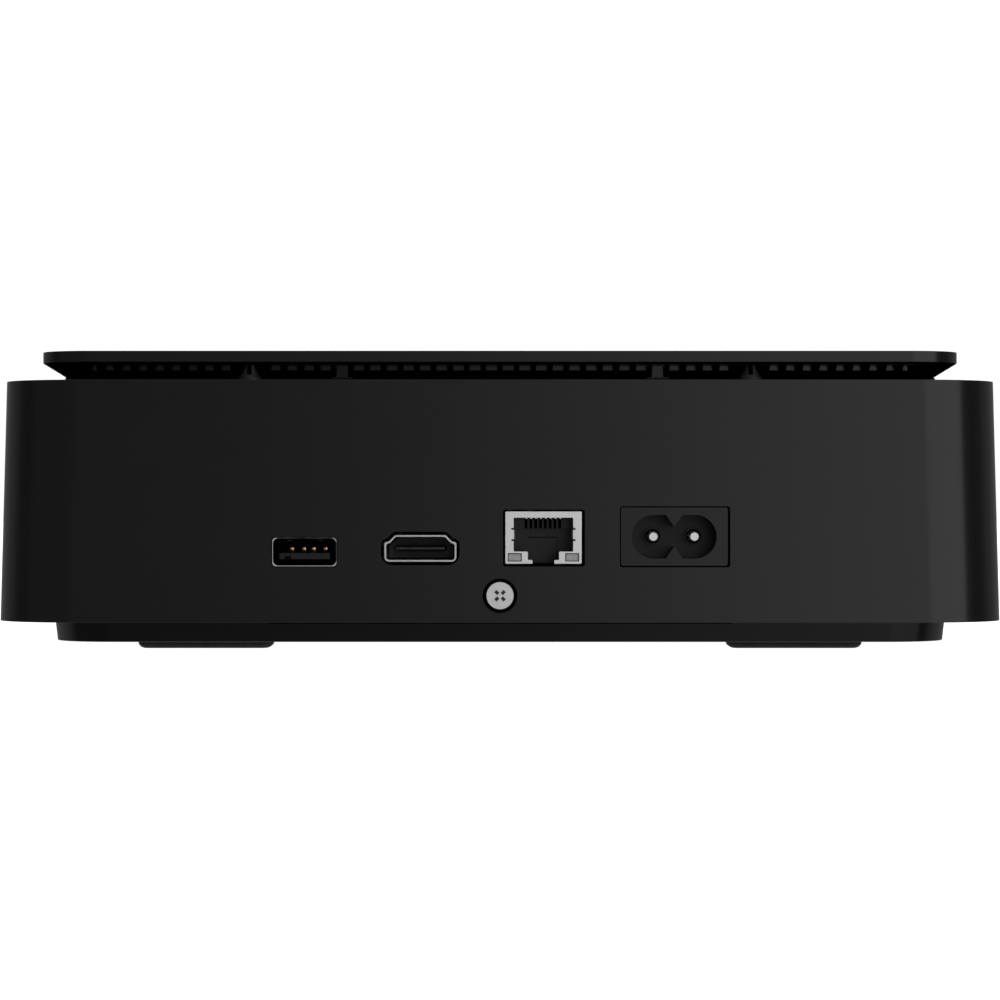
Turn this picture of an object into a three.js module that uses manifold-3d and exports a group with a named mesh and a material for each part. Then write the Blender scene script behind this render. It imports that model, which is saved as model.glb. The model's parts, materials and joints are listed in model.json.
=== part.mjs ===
// Mini PC: a square desktop computer with a floating lid, a ring of exhaust windows under the lid,
// and its sockets, mains inlet and case screw on the rear wall.
//
// Frame: millimetres, +Z up, origin at the centre of the footprint, on the desk.
// The rear wall with the sockets faces -Y and the front with the power button faces +Y.

import * as THREE from 'three';
import { mergeVertices } from 'three/addons/utils/BufferGeometryUtils.js';
import Module from 'manifold-3d';

const wasm = await Module();
wasm.setup();

// ---------------------------------------------------------------- driving dimensions

const GAP = 0.3; // clearance between pieces that touch
const CUT = 1; // how far a cutter runs past the face it opens
const ROUND = 24; // sides of a round boss, hole or pin
const CORNER_STEPS = 6; // steps of a rounded corner

// Body shell: wider at the bottom than at the top.
const BODY = { bottomZ: 6.1, topZ: 56.8, bottomHalf: 106.4, topHalf: 105.2, corner: 17, wall: 2.4, edge: 0.3 };
const DECK_CORNER = 4; // of the opening in the deck that the vent frame stands in
const DRAFT = (BODY.bottomHalf - BODY.topHalf) / (BODY.topZ - BODY.bottomZ);

// Lid: a plate that floats over the deck, with a rib under it behind the windows.
const LID = { bottomZ: 60.75, topZ: 63.15, half: 97.7, corner: 10.7, edge: 0.3 };
const LID_RIB = { half: 90, thickness: 1.5, bottomZ: 58.3 };

// Vent frame: a collar in the deck's opening that flares outwards up to the lid.
const VENT = {
  footHalf: 91.1, rimHalf: 97.2, rimCorner: 10.2, flangeHalf: 95, wall: 2.8, floor: 2, flange: 2.7,
};
const WINDOW = { pitch: 3.53, width: 2.37, sillZ: 59, perHalfSide: 25 };
const TALL_WINDOW = { index: 9, width: 2.6, sillZ: 57.2 };
const PILLAR = { x: 52.9, inset: 96, footRadius: 2.8, neckRadius: 0.95, footTopZ: 57.8 };
const PILLAR_SLOT = { width: 0.9, bottomZ: 58.2 };
const PILLAR_WINDOWS = [14, 15]; // the windows that a pillar stands in front of

// Base tray: a floor plate inside the shell with a shallower plinth below it.
const BASE = {
  half: 103.6, corner: 14.2, thickness: 2, plinthTopHalf: 95.5, plinthHalf: 94.8, plinthCorner: 10,
};
const PLINTH = { bottomZ: 1.6, edge: 1.1, wall: 2 };
const SEAM = { half: 48.3, height: 0.65, depth: 1 };
const INTAKE = { columns: 10, pitch: 7, width: 3, length: 34, rowY: 24 };

// Feet: rubber strips sunk into pockets in the plinth.
const FOOT = { width: 28.9, depth: 9, corner: 2, x: 63, y: 84.5, height: 2.1, edge: 0.9, pocket: 0.8 };

// Case screw in its counterbore in the rear wall.
const SCREW = {
  z: 11.7, headRadius: 2.88, headHeight: 1.2, headBevel: 0.4, headInset: 0.3, shankRadius: 1.5,
  shankLength: 7,
};
const COUNTERBORE = { radius: 3.62, depth: 1.7 };
const CROSS = { reach: 3.4, width: 0.85, depth: 0.7 };

// Sockets: positions are the centres of the mouths on the rear wall.
const SOCKET_INSET = 0.35; // how far the mouths lie behind the wall's face
const SOCKET_GAP = 0.4; // all round the video and network sockets
const USB = { x: -40.8, z: 20.8, width: 13.35, height: 5.9, corner: 0.95, wall: 0.4, depth: 14 };
const USB_TONGUE = { width: 10.6, height: 1.4, top: -0.2, setback: 1.4, root: 3 };
const USB_CONTACT = { pitches: [-3.5, -1, 1, 3.5], width: 1, thickness: 0.25, depth: 7 };
const HDMI = { x: -16.7, z: 21.5, width: 15.4, height: 5.7, wall: 0.5, depth: 12 };
const HDMI_SHOULDER = { height: 1.55, topHalf: 5.2 };
const HDMI_TONGUE = { width: 10.8, height: 1.2, setback: 1.4, z: -0.1, root: 3 };
const RJ45 = { x: 9.06, z: 23.8, width: 16, height: 11, depth: 21, wall: 0.5 };
const RJ45_CAVITY = { width: 12.2, height: 6.9, top: 1.4, depth: 13 };
const RJ45_STEPS = [{ width: 6.5, bottom: 10.1 }, { width: 4.3, bottom: 11 }];
const RJ45_CONTACTS = { count: 8, pitch: 1.02, width: 0.45, height: 0.5, depth: 9 };
const LED = { x: 6.1, z: -4.1, width: 2.9, height: 1.75, depth: 4 };
const INLET = { x: 36.35, z: 24, width: 22.8, height: 12.5, corner: 0.6, flange: 2, depth: 17 };
const INLET_BODY = { width: 20.6, height: 11.4 };
const RECESS = { lobeRadius: 4.5, lobeX: 4.3, waistHalf: 2.15, notchHalf: 1.75, depth: 11 };
const PIN = { radius: 1.15, x: 4.3, length: 9.2, root: 3 };

// Boards, all at one level under the sockets.
const BOARD = { topZ: 17.3, thickness: 1.6 };
const MAINBOARD = { minX: -95, maxX: 19, minY: -101, maxY: 69 };
const SUPPLY = { minX: 23, maxX: 95, minY: -101, maxY: 48 };
const POST = { radius: 3.2, pilot: 1.6 };
const BOARD_SCREW = { headRadius: 2.7, headHeight: 1.6, shankRadius: 1.25, shankLength: 5.5 };
const POST_INSET = { side: 6, front: 6, rear: 24 }; // the rear posts stand behind the sockets

// Cooling.
const FAN = {
  size: 92, corner: 5, height: 15, bore: 44, topZ: 51.1, hub: 17, tip: 42.4, blades: 7, clearance: 1.2,
};
const FAN_STRUT = { width: 3, thickness: 2.5, screwHole: 2.2 };
const FAN_HOLE = 43.5;
const FAN_BLADE = { thickness: 1.3, pitch: 0.62, span: 0.5, sections: 5 };
const PROCESSOR = { x: -20, y: 5, size: 37, height: 2 };
const HEATSINK = { size: 76, base: 3, height: 13.6, fins: 16, fin: 1.1 };

// What stands on the mainboard.
const MEMORY = { x: -77, y: 18, width: 30, length: 67.6, thickness: 1.2, lift: 3 };
const MEMORY_SOCKET = { x: -61.9, width: 4.4, length: 71.6, height: 2.7 };
const DRIVE = { x: -45, y: -64, length: 80, width: 22, thickness: 2.2, lift: 1.5 };
const DRIVE_SOCKET = { x: -1, length: 7, height: 4 };
const WIRELESS = { x: -30, y: 56, length: 30, width: 22, thickness: 2, lift: 1.5 };
const CELL = { x: -78, y: -34, radius: 10, height: 3.2, floor: 1.3, holderRadius: 12.4, holderHeight: 4.4 };

// What stands on the power supply's board.
const TRANSFORMER = { x: 68, y: 0, width: 34, depth: 15.6, height: 24, limb: 5, slab: 5 };
const CAPACITOR = { x: 84, y: -52, radius: 9, height: 28, groove: 0.6, crimpZ: 3, bevel: 0.8 };
const CHOKE = { x: 44, y: -60, ring: 7, tube: 3.4, tubeSides: 8 };
const SUPPLY_HEATSINK = { x: 68, y: 30, width: 52, thickness: 3, height: 17 };

// Power button on the front wall, and the switch behind it.
const BUTTON = { x: 74, z: 20, radius: 4.6, clearance: 0.4, flangeRadius: 6, flange: 1, stemRadius: 2 };
const BUTTON_Y = { face: 105.3, flangeBack: 101.6, stemBack: 99.9 };
const SWITCH = { size: 8, front: 98.6, back: 95.4 };
const PLUNGER = { radius: 1.4, front: 99.6, back: 97.3 };
const FRONT_BOARD = { width: 44, height: 14, front: 95.1, thickness: 1.6 };
const LIGHT = { dx: -13, radius: 1.2, face: 105.3, back: 96 };

// ---------------------------------------------------------------- finishes

const FINISHES = {
  blackShell: { color: 0x1b1c1e, roughness: 0.42, metalness: 0 },
  blackVent: { color: 0x0c0c0d, roughness: 0.6, metalness: 0 },
  rubber: { color: 0x202021, roughness: 0.85, metalness: 0 },
  steel: { color: 0xb9bcc0, roughness: 0.3, metalness: 1 },
  zinc: { color: 0x9fa2a6, roughness: 0.35, metalness: 1 },
  gold: { color: 0xd8ac4e, roughness: 0.25, metalness: 1 },
  blackInsert: { color: 0x121213, roughness: 0.5, metalness: 0 },
  lens: { color: 0x9c9f9e, roughness: 0.3, metalness: 0 },
  board: { color: 0x14452f, roughness: 0.5, metalness: 0 },
  aluminium: { color: 0xc3c6c9, roughness: 0.4, metalness: 1 },
  chip: { color: 0x26272a, roughness: 0.5, metalness: 0 },
  winding: { color: 0xd9b34a, roughness: 0.6, metalness: 0 },
  sleeve: { color: 0x23262c, roughness: 0.35, metalness: 0 },
  wire: { color: 0x2b2b2d, roughness: 0.6, metalness: 0 },
};

const miniPc = new THREE.Group();

// Adds one named piece, with a material of its own, to a group.
function addPiece(name, shape, finish, parent = miniPc) {
  const geometry = shape.isBufferGeometry ? shape : toGeometry(shape);
  const mesh = new THREE.Mesh(geometry, new THREE.MeshStandardMaterial(FINISHES[finish]));
  mesh.name = name;
  parent.add(mesh);
  return mesh;
}

function addGroup(x, y, z, parent = miniPc) {
  const group = new THREE.Group();
  group.position.set(x, y, z);
  parent.add(group);
  return group;
}

// ---------------------------------------------------------------- solids

function toSolid(geometry) {
  const bare = geometry.clone();
  bare.deleteAttribute('normal');
  bare.deleteAttribute('uv');
  const merged = mergeVertices(bare, 1e-4);
  return new wasm.Manifold(new wasm.Mesh({
    numProp: 3,
    vertProperties: new Float32Array(merged.attributes.position.array),
    triVerts: new Uint32Array(merged.index.array),
  }));
}

function toGeometry(solid) {
  const { vertProperties, triVerts } = solid.getMesh();
  const geometry = new THREE.BufferGeometry();
  geometry.setAttribute('position', new THREE.BufferAttribute(vertProperties, 3));
  geometry.setIndex(new THREE.BufferAttribute(triVerts, 1));
  return geometry;
}

function join(...solids) {
  return wasm.Manifold.union(solids);
}

// A block between two corners.
function block(minX, maxX, minY, maxY, minZ, maxZ) {
  const geometry = new THREE.BoxGeometry(maxX - minX, maxY - minY, maxZ - minZ);
  geometry.translate((minX + maxX) / 2, (minY + maxY) / 2, (minZ + maxZ) / 2);
  return toSolid(geometry);
}

// A block centred on x and y.
function centredBlock(x, y, width, depth, minZ, maxZ) {
  return block(x - width / 2, x + width / 2, y - depth / 2, y + depth / 2, minZ, maxZ);
}

// An upright cylinder.
function upright(x, y, radius, minZ, maxZ, sides = ROUND) {
  const geometry = new THREE.CylinderGeometry(radius, radius, maxZ - minZ, sides);
  geometry.rotateX(Math.PI / 2);
  geometry.translate(x, y, (minZ + maxZ) / 2);
  return toSolid(geometry);
}

// A cylinder along Y.
function rod(x, z, radius, minY, maxY, sides = ROUND) {
  const geometry = new THREE.CylinderGeometry(radius, radius, maxY - minY, sides);
  geometry.translate(x, (minY + maxY) / 2, z);
  return toSolid(geometry);
}

function roundedRectangle(width, height, radius) {
  const shape = new THREE.Shape();
  const x = width / 2 - radius;
  const y = height / 2 - radius;
  shape.absarc(x, y, radius, 0, Math.PI / 2);
  shape.absarc(-x, y, radius, Math.PI / 2, Math.PI);
  shape.absarc(-x, -y, radius, Math.PI, Math.PI * 1.5);
  shape.absarc(x, -y, radius, Math.PI * 1.5, Math.PI * 2);
  return shape;
}

// An outline drawn as seen from the rear or the front wall (x across, y up), from minY to maxY.
function wallPrism(shape, minY, maxY, steps = CORNER_STEPS / 2) {
  const geometry = new THREE.ExtrudeGeometry(shape, {
    depth: maxY - minY, bevelEnabled: false, curveSegments: steps,
  });
  geometry.rotateX(Math.PI / 2);
  geometry.translate(0, maxY, 0);
  return toSolid(geometry);
}

// A stack of rounded rectangles, one per level, skinned into one solid. They are square unless a level
// has a halfY of its own.
function squareStack(levels, x = 0, y = 0, steps = CORNER_STEPS) {
  const positions = [];
  const indices = [];
  const perRing = 4 * (steps + 1);
  for (const { half, halfY = half, corner, z } of levels) {
    for (let quarter = 0; quarter < 4; quarter++) {
      const sideX = quarter === 0 || quarter === 3 ? 1 : -1;
      const sideY = quarter < 2 ? 1 : -1;
      for (let step = 0; step <= steps; step++) {
        const angle = (quarter + step / steps) * Math.PI / 2;
        const px = x + sideX * (half - corner) + corner * Math.cos(angle);
        const py = y + sideY * (halfY - corner) + corner * Math.sin(angle);
        positions.push(px, py, z);
      }
    }
  }
  for (let ring = 0; ring < levels.length - 1; ring++) {
    for (let i = 0; i < perRing; i++) {
      const a = ring * perRing + i;
      const b = ring * perRing + (i + 1) % perRing;
      indices.push(a, b, b + perRing, a, b + perRing, a + perRing);
    }
  }
  const lastRing = (levels.length - 1) * perRing;
  for (let i = 1; i < perRing - 1; i++) {
    indices.push(0, i + 1, i, lastRing, lastRing + i, lastRing + i + 1);
  }
  const geometry = new THREE.BufferGeometry();
  geometry.setAttribute('position', new THREE.Float32BufferAttribute(positions, 3));
  geometry.setIndex(indices);
  return toSolid(geometry);
}

// A closed tube along points, for leads.
function lead(points, radius, steps, sides = 6) {
  const section = new THREE.Shape();
  section.absarc(0, 0, radius, 0, Math.PI * 2);
  return new THREE.ExtrudeGeometry(section, {
    steps, curveSegments: sides / 2, bevelEnabled: false,
    extrudePath: new THREE.CatmullRomCurve3(points.map((p) => new THREE.Vector3(...p))),
  });
}

// Half-width of the body shell's outside at a height.
function bodyHalf(z) {
  return BODY.bottomHalf - (z - BODY.bottomZ) * DRAFT;
}

// ---------------------------------------------------------------- casing

function makeLid() {
  const { half, corner, edge, bottomZ, topZ } = LID;
  const plate = squareStack([
    { half: half - edge / 2, corner: corner - edge / 2, z: bottomZ },
    { half, corner, z: bottomZ + edge / 2 },
    { half, corner, z: topZ - edge },
    { half: half - edge, corner: corner - edge, z: topZ },
  ]);
  const ribCorner = corner - (half - LID_RIB.half);
  const ribTopZ = bottomZ + CUT;
  const outer = squareStack([
    { half: LID_RIB.half, corner: ribCorner, z: LID_RIB.bottomZ },
    { half: LID_RIB.half, corner: ribCorner, z: ribTopZ },
  ]);
  const innerHalf = LID_RIB.half - LID_RIB.thickness;
  const inner = squareStack([
    { half: innerHalf, corner: ribCorner / 2, z: LID_RIB.bottomZ - CUT },
    { half: innerHalf, corner: ribCorner / 2, z: ribTopZ + CUT },
  ]);
  return join(plate, outer.subtract(inner));
}

// One of the flared pillars between the deck and the lid, slotted down its middle.
function makePillar(side) {
  const { footRadius, neckRadius, footTopZ, inset } = PILLAR;
  const { width, bottomZ } = PILLAR_SLOT;
  const topZ = LID.bottomZ - GAP;
  const footZ = BODY.topZ + GAP;
  const flareSteps = 4;
  const outline = [new THREE.Vector2(0, footZ), new THREE.Vector2(footRadius, footZ)];
  for (let i = 0; i <= flareSteps; i++) {
    const rise = i / flareSteps;
    const radius = neckRadius + (footRadius - neckRadius) * (1 - rise) ** 2;
    outline.push(new THREE.Vector2(radius, footTopZ + (topZ - footTopZ) * rise));
  }
  outline.push(new THREE.Vector2(0, topZ));
  const geometry = new THREE.LatheGeometry(outline, ROUND / 2);
  geometry.rotateX(Math.PI / 2);
  geometry.translate(side, -inset, 0);
  const cutter = block(side - width / 2, side + width / 2, -inset - footRadius, -inset, bottomZ, topZ + CUT);
  return toSolid(geometry).subtract(cutter);
}

// The same solid on all four sides of the object.
function onFourSides(solid) {
  return [0, 90, 180, 270].map((degrees) => solid.rotate([0, 0, degrees]));
}

function makeWindowCutters() {
  const reach = LID.half + CUT;
  const topZ = LID.bottomZ + CUT;
  const cutters = [];
  for (let i = 0; i < WINDOW.perHalfSide; i++) {
    if (PILLAR_WINDOWS.includes(i)) continue;
    const { width, sillZ } = i === TALL_WINDOW.index ? TALL_WINDOW : WINDOW;
    for (const side of [-1, 1]) {
      const x = side * (i + 0.5) * WINDOW.pitch;
      cutters.push(centredBlock(x, 0, width, 2 * reach, sillZ, topZ));
      cutters.push(centredBlock(0, x, 2 * reach, width, sillZ, topZ));
    }
  }
  return cutters;
}

function makeVentFrame() {
  const { footHalf, rimHalf, rimCorner, flangeHalf, wall, floor, flange } = VENT;
  const topZ = LID.bottomZ - GAP;
  const underDeckZ = BODY.topZ - BODY.wall - GAP;
  const bottomZ = underDeckZ - flange;
  const cornerAt = (half) => rimCorner - (rimHalf - half);
  const level = (half, z) => ({ half, corner: cornerAt(half), z });
  const outer = squareStack([
    level(flangeHalf, bottomZ),
    level(flangeHalf, underDeckZ),
    level(footHalf, underDeckZ),
    level(footHalf, BODY.topZ),
    level(rimHalf, topZ),
  ]);
  const inside = (half, z) => ({ half: half - wall, corner: 2, z });
  const plenum = squareStack([
    inside(footHalf, bottomZ + floor),
    inside(footHalf, BODY.topZ),
    inside(rimHalf, topZ),
    inside(rimHalf, topZ + CUT),
  ]);
  const fanHole = upright(0, 0, FAN_HOLE, bottomZ - CUT, topZ, 2 * ROUND);
  const windows = join(...makeWindowCutters());
  const pillars = [-PILLAR.x, PILLAR.x].flatMap((x) => onFourSides(makePillar(x)));
  return join(outer.subtract(plenum).subtract(fanHole).subtract(windows), ...pillars);
}

function makeBodyShell() {
  const { bottomZ, topZ, bottomHalf, corner, wall, edge } = BODY;
  const level = (inset, z) => ({ half: bodyHalf(z) - inset, corner: corner - inset, z });
  const outer = squareStack([
    level(edge, bottomZ),
    level(0, bottomZ + edge),
    level(0, topZ - edge),
    level(edge, topZ),
  ]);
  const hollow = squareStack([
    { half: bottomHalf - wall, corner: corner - wall, z: bottomZ - CUT },
    level(wall, bottomZ),
    level(wall, topZ - wall),
  ]);
  const deckHalf = VENT.footHalf + GAP;
  const deckOpening = squareStack([
    { half: deckHalf, corner: DECK_CORNER, z: topZ - wall - CUT },
    { half: deckHalf, corner: DECK_CORNER, z: topZ + CUT },
  ]);
  const wallMin = -bottomHalf - CUT;
  const wallMax = -bodyHalf(topZ) + wall + CUT;
  const opening = (socket, shape) => wallPrism(shape, wallMin, wallMax).translate([socket.x, 0, socket.z]);
  const openings = [
    opening(USB, roundedRectangle(USB.width + 2 * GAP, USB.height + 2 * GAP, USB.corner + GAP)),
    opening(HDMI, hdmiOutline(-SOCKET_GAP)),
    opening(RJ45, roundedRectangle(RJ45.width + 2 * SOCKET_GAP, RJ45.height + 2 * SOCKET_GAP, SOCKET_GAP)),
    opening(INLET, roundedRectangle(INLET.width + GAP, INLET.height + GAP, INLET.corner)),
  ];
  const recessFloor = -bodyHalf(SCREW.z) + COUNTERBORE.depth;
  openings.push(rod(0, SCREW.z, COUNTERBORE.radius, wallMin, recessFloor));
  openings.push(rod(0, SCREW.z, SCREW.shankRadius + GAP, wallMin, wallMax));
  openings.push(rod(BUTTON.x, BUTTON.z, BUTTON.radius + BUTTON.clearance, -wallMax, -wallMin));
  openings.push(rod(BUTTON.x + LIGHT.dx, BUTTON.z, LIGHT.radius + GAP, -wallMax, -wallMin));
  return outer.subtract(hollow).subtract(deckOpening).subtract(join(...openings));
}

// Where the screws of a board stand.
function boardPosts(board) {
  const xs = [board.minX + POST_INSET.side, board.maxX - POST_INSET.side];
  const ys = [board.minY + POST_INSET.rear, board.maxY - POST_INSET.front];
  return xs.flatMap((x) => ys.map((y) => ({ x, y })));
}

function makeBaseTray() {
  const plateBottomZ = BODY.bottomZ + GAP;
  const plateTopZ = plateBottomZ + BASE.thickness;
  const plate = squareStack([
    { half: BASE.half, corner: BASE.corner, z: plateBottomZ },
    { half: BASE.half, corner: BASE.corner, z: plateTopZ },
  ]);
  const { bottomZ, edge, wall } = PLINTH;
  const plinth = squareStack([
    { half: BASE.plinthHalf - edge, corner: BASE.plinthCorner - edge, z: bottomZ },
    { half: BASE.plinthHalf - edge * 0.3, corner: BASE.plinthCorner - edge * 0.3, z: bottomZ + edge * 0.3 },
    { half: BASE.plinthHalf, corner: BASE.plinthCorner, z: bottomZ + edge },
    { half: BASE.plinthTopHalf, corner: BASE.plinthCorner, z: plateBottomZ + CUT / 2 },
  ]);
  const floorZ = bottomZ + wall;
  const well = squareStack([floorZ, plateTopZ + CUT].map((z) => (
    { half: BASE.plinthHalf - wall, corner: BASE.plinthCorner - wall, z }
  )));
  const boardBottomZ = BOARD.topZ - BOARD.thickness;
  const posts = [...boardPosts(MAINBOARD), ...boardPosts(SUPPLY)].map(({ x, y }) => (
    upright(x, y, POST.radius, floorZ - CUT / 2, boardBottomZ - GAP, ROUND / 3)
  ));
  const pilots = [...boardPosts(MAINBOARD), ...boardPosts(SUPPLY)].map(({ x, y }) => (
    upright(x, y, POST.pilot, floorZ + CUT, boardBottomZ, ROUND / 3)
  ));
  const bossFront = -BASE.half + SCREW.shankLength + CUT;
  const boss = block(-COUNTERBORE.radius, COUNTERBORE.radius, -BASE.half + GAP, bossFront,
    plateTopZ - CUT, SCREW.z + COUNTERBORE.radius);
  const bossHole = rod(0, SCREW.z, SCREW.shankRadius + GAP, -BASE.half - CUT, bossFront + CUT);
  const holder = block(BUTTON.x - FRONT_BOARD.width / 2, BUTTON.x - FRONT_BOARD.width / 2 + BASE.thickness,
    FRONT_BOARD.front - 3 * BASE.thickness, FRONT_BOARD.front - FRONT_BOARD.thickness - GAP,
    plateTopZ - CUT, BUTTON.z);
  const pocketLevels = [bottomZ - CUT, bottomZ + FOOT.pocket].map((z) => (
    { half: FOOT.width / 2 + GAP, halfY: FOOT.depth / 2 + GAP, corner: FOOT.corner + GAP, z }
  ));
  const pockets = footPlaces().map(({ x, y }) => squareStack(pocketLevels, x, y));
  const slots = [];
  for (const row of [-INTAKE.rowY, INTAKE.rowY]) {
    for (let column = 0; column < INTAKE.columns; column++) {
      const x = (column - (INTAKE.columns - 1) / 2) * INTAKE.pitch;
      slots.push(centredBlock(x, row, INTAKE.width, INTAKE.length, bottomZ - CUT, floorZ + CUT / 2));
    }
  }
  const seam = block(-SEAM.half, SEAM.half, -BASE.plinthTopHalf - CUT, -BASE.plinthTopHalf + SEAM.depth,
    BODY.bottomZ - SEAM.height, plateBottomZ);
  return join(plate, plinth)
    .subtract(well)
    .add(join(...posts, boss, holder))
    .subtract(join(...pilots, bossHole, ...pockets, ...slots, seam));
}

function footPlaces() {
  return [-1, 1].flatMap((sideY) => [-1, 1].map((sideX) => ({ x: sideX * FOOT.x, y: sideY * FOOT.y })));
}

// A strip with a rolled lower edge.
function makeFoot() {
  const half = FOOT.width / 2;
  const halfY = FOOT.depth / 2;
  const rollSteps = 3;
  const levels = [];
  for (let i = 0; i <= rollSteps; i++) {
    const angle = i / rollSteps * Math.PI / 2;
    const inset = FOOT.edge * (1 - Math.sin(angle));
    const z = FOOT.edge * (1 - Math.cos(angle));
    levels.push({ half: half - inset, halfY: halfY - inset, corner: FOOT.corner - inset, z });
  }
  levels.push({ half, halfY, corner: FOOT.corner, z: FOOT.height });
  return squareStack(levels);
}

// The head is at the origin and the shank runs along +Y.
function makeCaseScrew() {
  const { headRadius, headHeight, shankRadius } = SCREW;
  const head = join(
    rod(0, 0, headRadius, SCREW.headBevel, headHeight),
    rod(0, 0, headRadius - SCREW.headBevel, 0, headHeight),
    rod(0, 0, shankRadius, headHeight / 2, headHeight + SCREW.shankLength),
  );
  const { reach, width, depth } = CROSS;
  const arm = centredBlock(0, depth / 2, reach, depth * 2, -width / 2, width / 2);
  const cross = join(arm.rotate([0, 45, 0]), arm.rotate([0, -45, 0])).translate([0, -depth / 2, 0]);
  return head.subtract(cross);
}

function addCasing() {
  addPiece('top_lid', makeLid(), 'blackShell');
  addPiece('vent_frame', makeVentFrame(), 'blackVent');
  addPiece('body_shell', makeBodyShell(), 'blackShell');
  addPiece('base_tray', makeBaseTray(), 'blackShell');
  const footNames = ['foot_rear_left', 'foot_rear_right', 'foot_front_left', 'foot_front_right'];
  footPlaces().forEach(({ x, y }, index) => {
    addPiece(footNames[index], makeFoot(), 'rubber').position.set(x, y, 0);
  });
  const screwHeadY = -bodyHalf(SCREW.z) + SCREW.headInset;
  addPiece('rear_screw', makeCaseScrew(), 'zinc').position.set(0, screwHeadY, SCREW.z);
}

// ---------------------------------------------------------------- sockets on the rear wall

// A group whose origin is the centre of a socket's mouth.
function socketGroup(socket) {
  return addGroup(socket.x, -bodyHalf(socket.z) + SOCKET_INSET, socket.z);
}

function addUsbSocket() {
  const group = socketGroup(USB);
  const { width, height, corner, wall, depth } = USB;
  const outer = wallPrism(roundedRectangle(width, height, corner), 0, depth);
  const insideOutline = roundedRectangle(width - 2 * wall, height - 2 * wall, corner - wall);
  const inner = wallPrism(insideOutline, -CUT, depth + CUT);
  addPiece('usb_shell', outer.subtract(inner), 'steel', group);
  const half = USB_TONGUE.width / 2;
  const { top, setback } = USB_TONGUE;
  const rootFront = depth - USB_TONGUE.root;
  const root = block(-width / 2 + wall + GAP, width / 2 - wall - GAP, rootFront, depth - GAP,
    -height / 2 + wall + GAP, height / 2 - wall - GAP);
  const tongue = block(-half, half, setback, rootFront + CUT, top - USB_TONGUE.height, top);
  addPiece('usb_tongue', join(tongue, root), 'blackInsert', group);
  const contactFront = rootFront - GAP - USB_CONTACT.depth;
  const bottomZ = top + GAP;
  const fingers = USB_CONTACT.pitches.map((x) => (
    centredBlock(x, contactFront + USB_CONTACT.depth / 2, USB_CONTACT.width, USB_CONTACT.depth, bottomZ,
      bottomZ + USB_CONTACT.thickness)
  ));
  const bar = centredBlock(0, rootFront - GAP - CUT / 2, USB_TONGUE.width, CUT, bottomZ,
    bottomZ + USB_CONTACT.thickness);
  addPiece('usb_contacts', join(...fingers, bar), 'gold', group);
}

// The HDMI outline: narrow side up, with sloping shoulders.
function hdmiOutline(inset) {
  const halfWidth = HDMI.width / 2 - inset;
  const halfHeight = HDMI.height / 2 - inset;
  const topHalf = HDMI_SHOULDER.topHalf - inset * Math.tan(Math.PI / 8);
  const shoulderZ = halfHeight - HDMI_SHOULDER.height;
  const shape = new THREE.Shape();
  shape.moveTo(-halfWidth, -halfHeight);
  shape.lineTo(halfWidth, -halfHeight);
  shape.lineTo(halfWidth, shoulderZ);
  shape.lineTo(topHalf + HDMI_SHOULDER.height, shoulderZ);
  shape.lineTo(topHalf, halfHeight);
  shape.lineTo(-topHalf, halfHeight);
  shape.lineTo(-topHalf - HDMI_SHOULDER.height, shoulderZ);
  shape.lineTo(-halfWidth, shoulderZ);
  return shape;
}

function addHdmiSocket() {
  const group = socketGroup(HDMI);
  const { wall, depth } = HDMI;
  const shell = wallPrism(hdmiOutline(0), 0, depth).subtract(wallPrism(hdmiOutline(wall), -CUT, depth + CUT));
  addPiece('hdmi_shell', shell, 'steel', group);
  const half = HDMI_TONGUE.width / 2;
  const rootFront = depth - HDMI_TONGUE.root;
  const root = wallPrism(hdmiOutline(wall + GAP), rootFront, depth - GAP);
  const tongue = block(-half, half, HDMI_TONGUE.setback, rootFront + CUT,
    HDMI_TONGUE.z - HDMI_TONGUE.height / 2, HDMI_TONGUE.z + HDMI_TONGUE.height / 2);
  addPiece('hdmi_tongue', join(tongue, root), 'blackInsert', group);
}

// The plug's way in: the wide cavity and the two narrower steps of the latch.
function rj45Mouth(clearance, minY, maxY) {
  const topZ = RJ45.height / 2;
  const cavityTop = topZ - RJ45_CAVITY.top + clearance;
  const cavityBottom = topZ - RJ45_CAVITY.top - RJ45_CAVITY.height - clearance;
  const halfCavity = RJ45_CAVITY.width / 2 + clearance;
  const cavity = block(-halfCavity, halfCavity, minY, maxY, cavityBottom, cavityTop);
  const steps = RJ45_STEPS.map(({ width, bottom }) => {
    const half = width / 2 + clearance;
    return block(-half, half, minY, maxY, topZ - bottom - clearance, cavityTop);
  });
  return join(cavity, ...steps);
}

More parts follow.
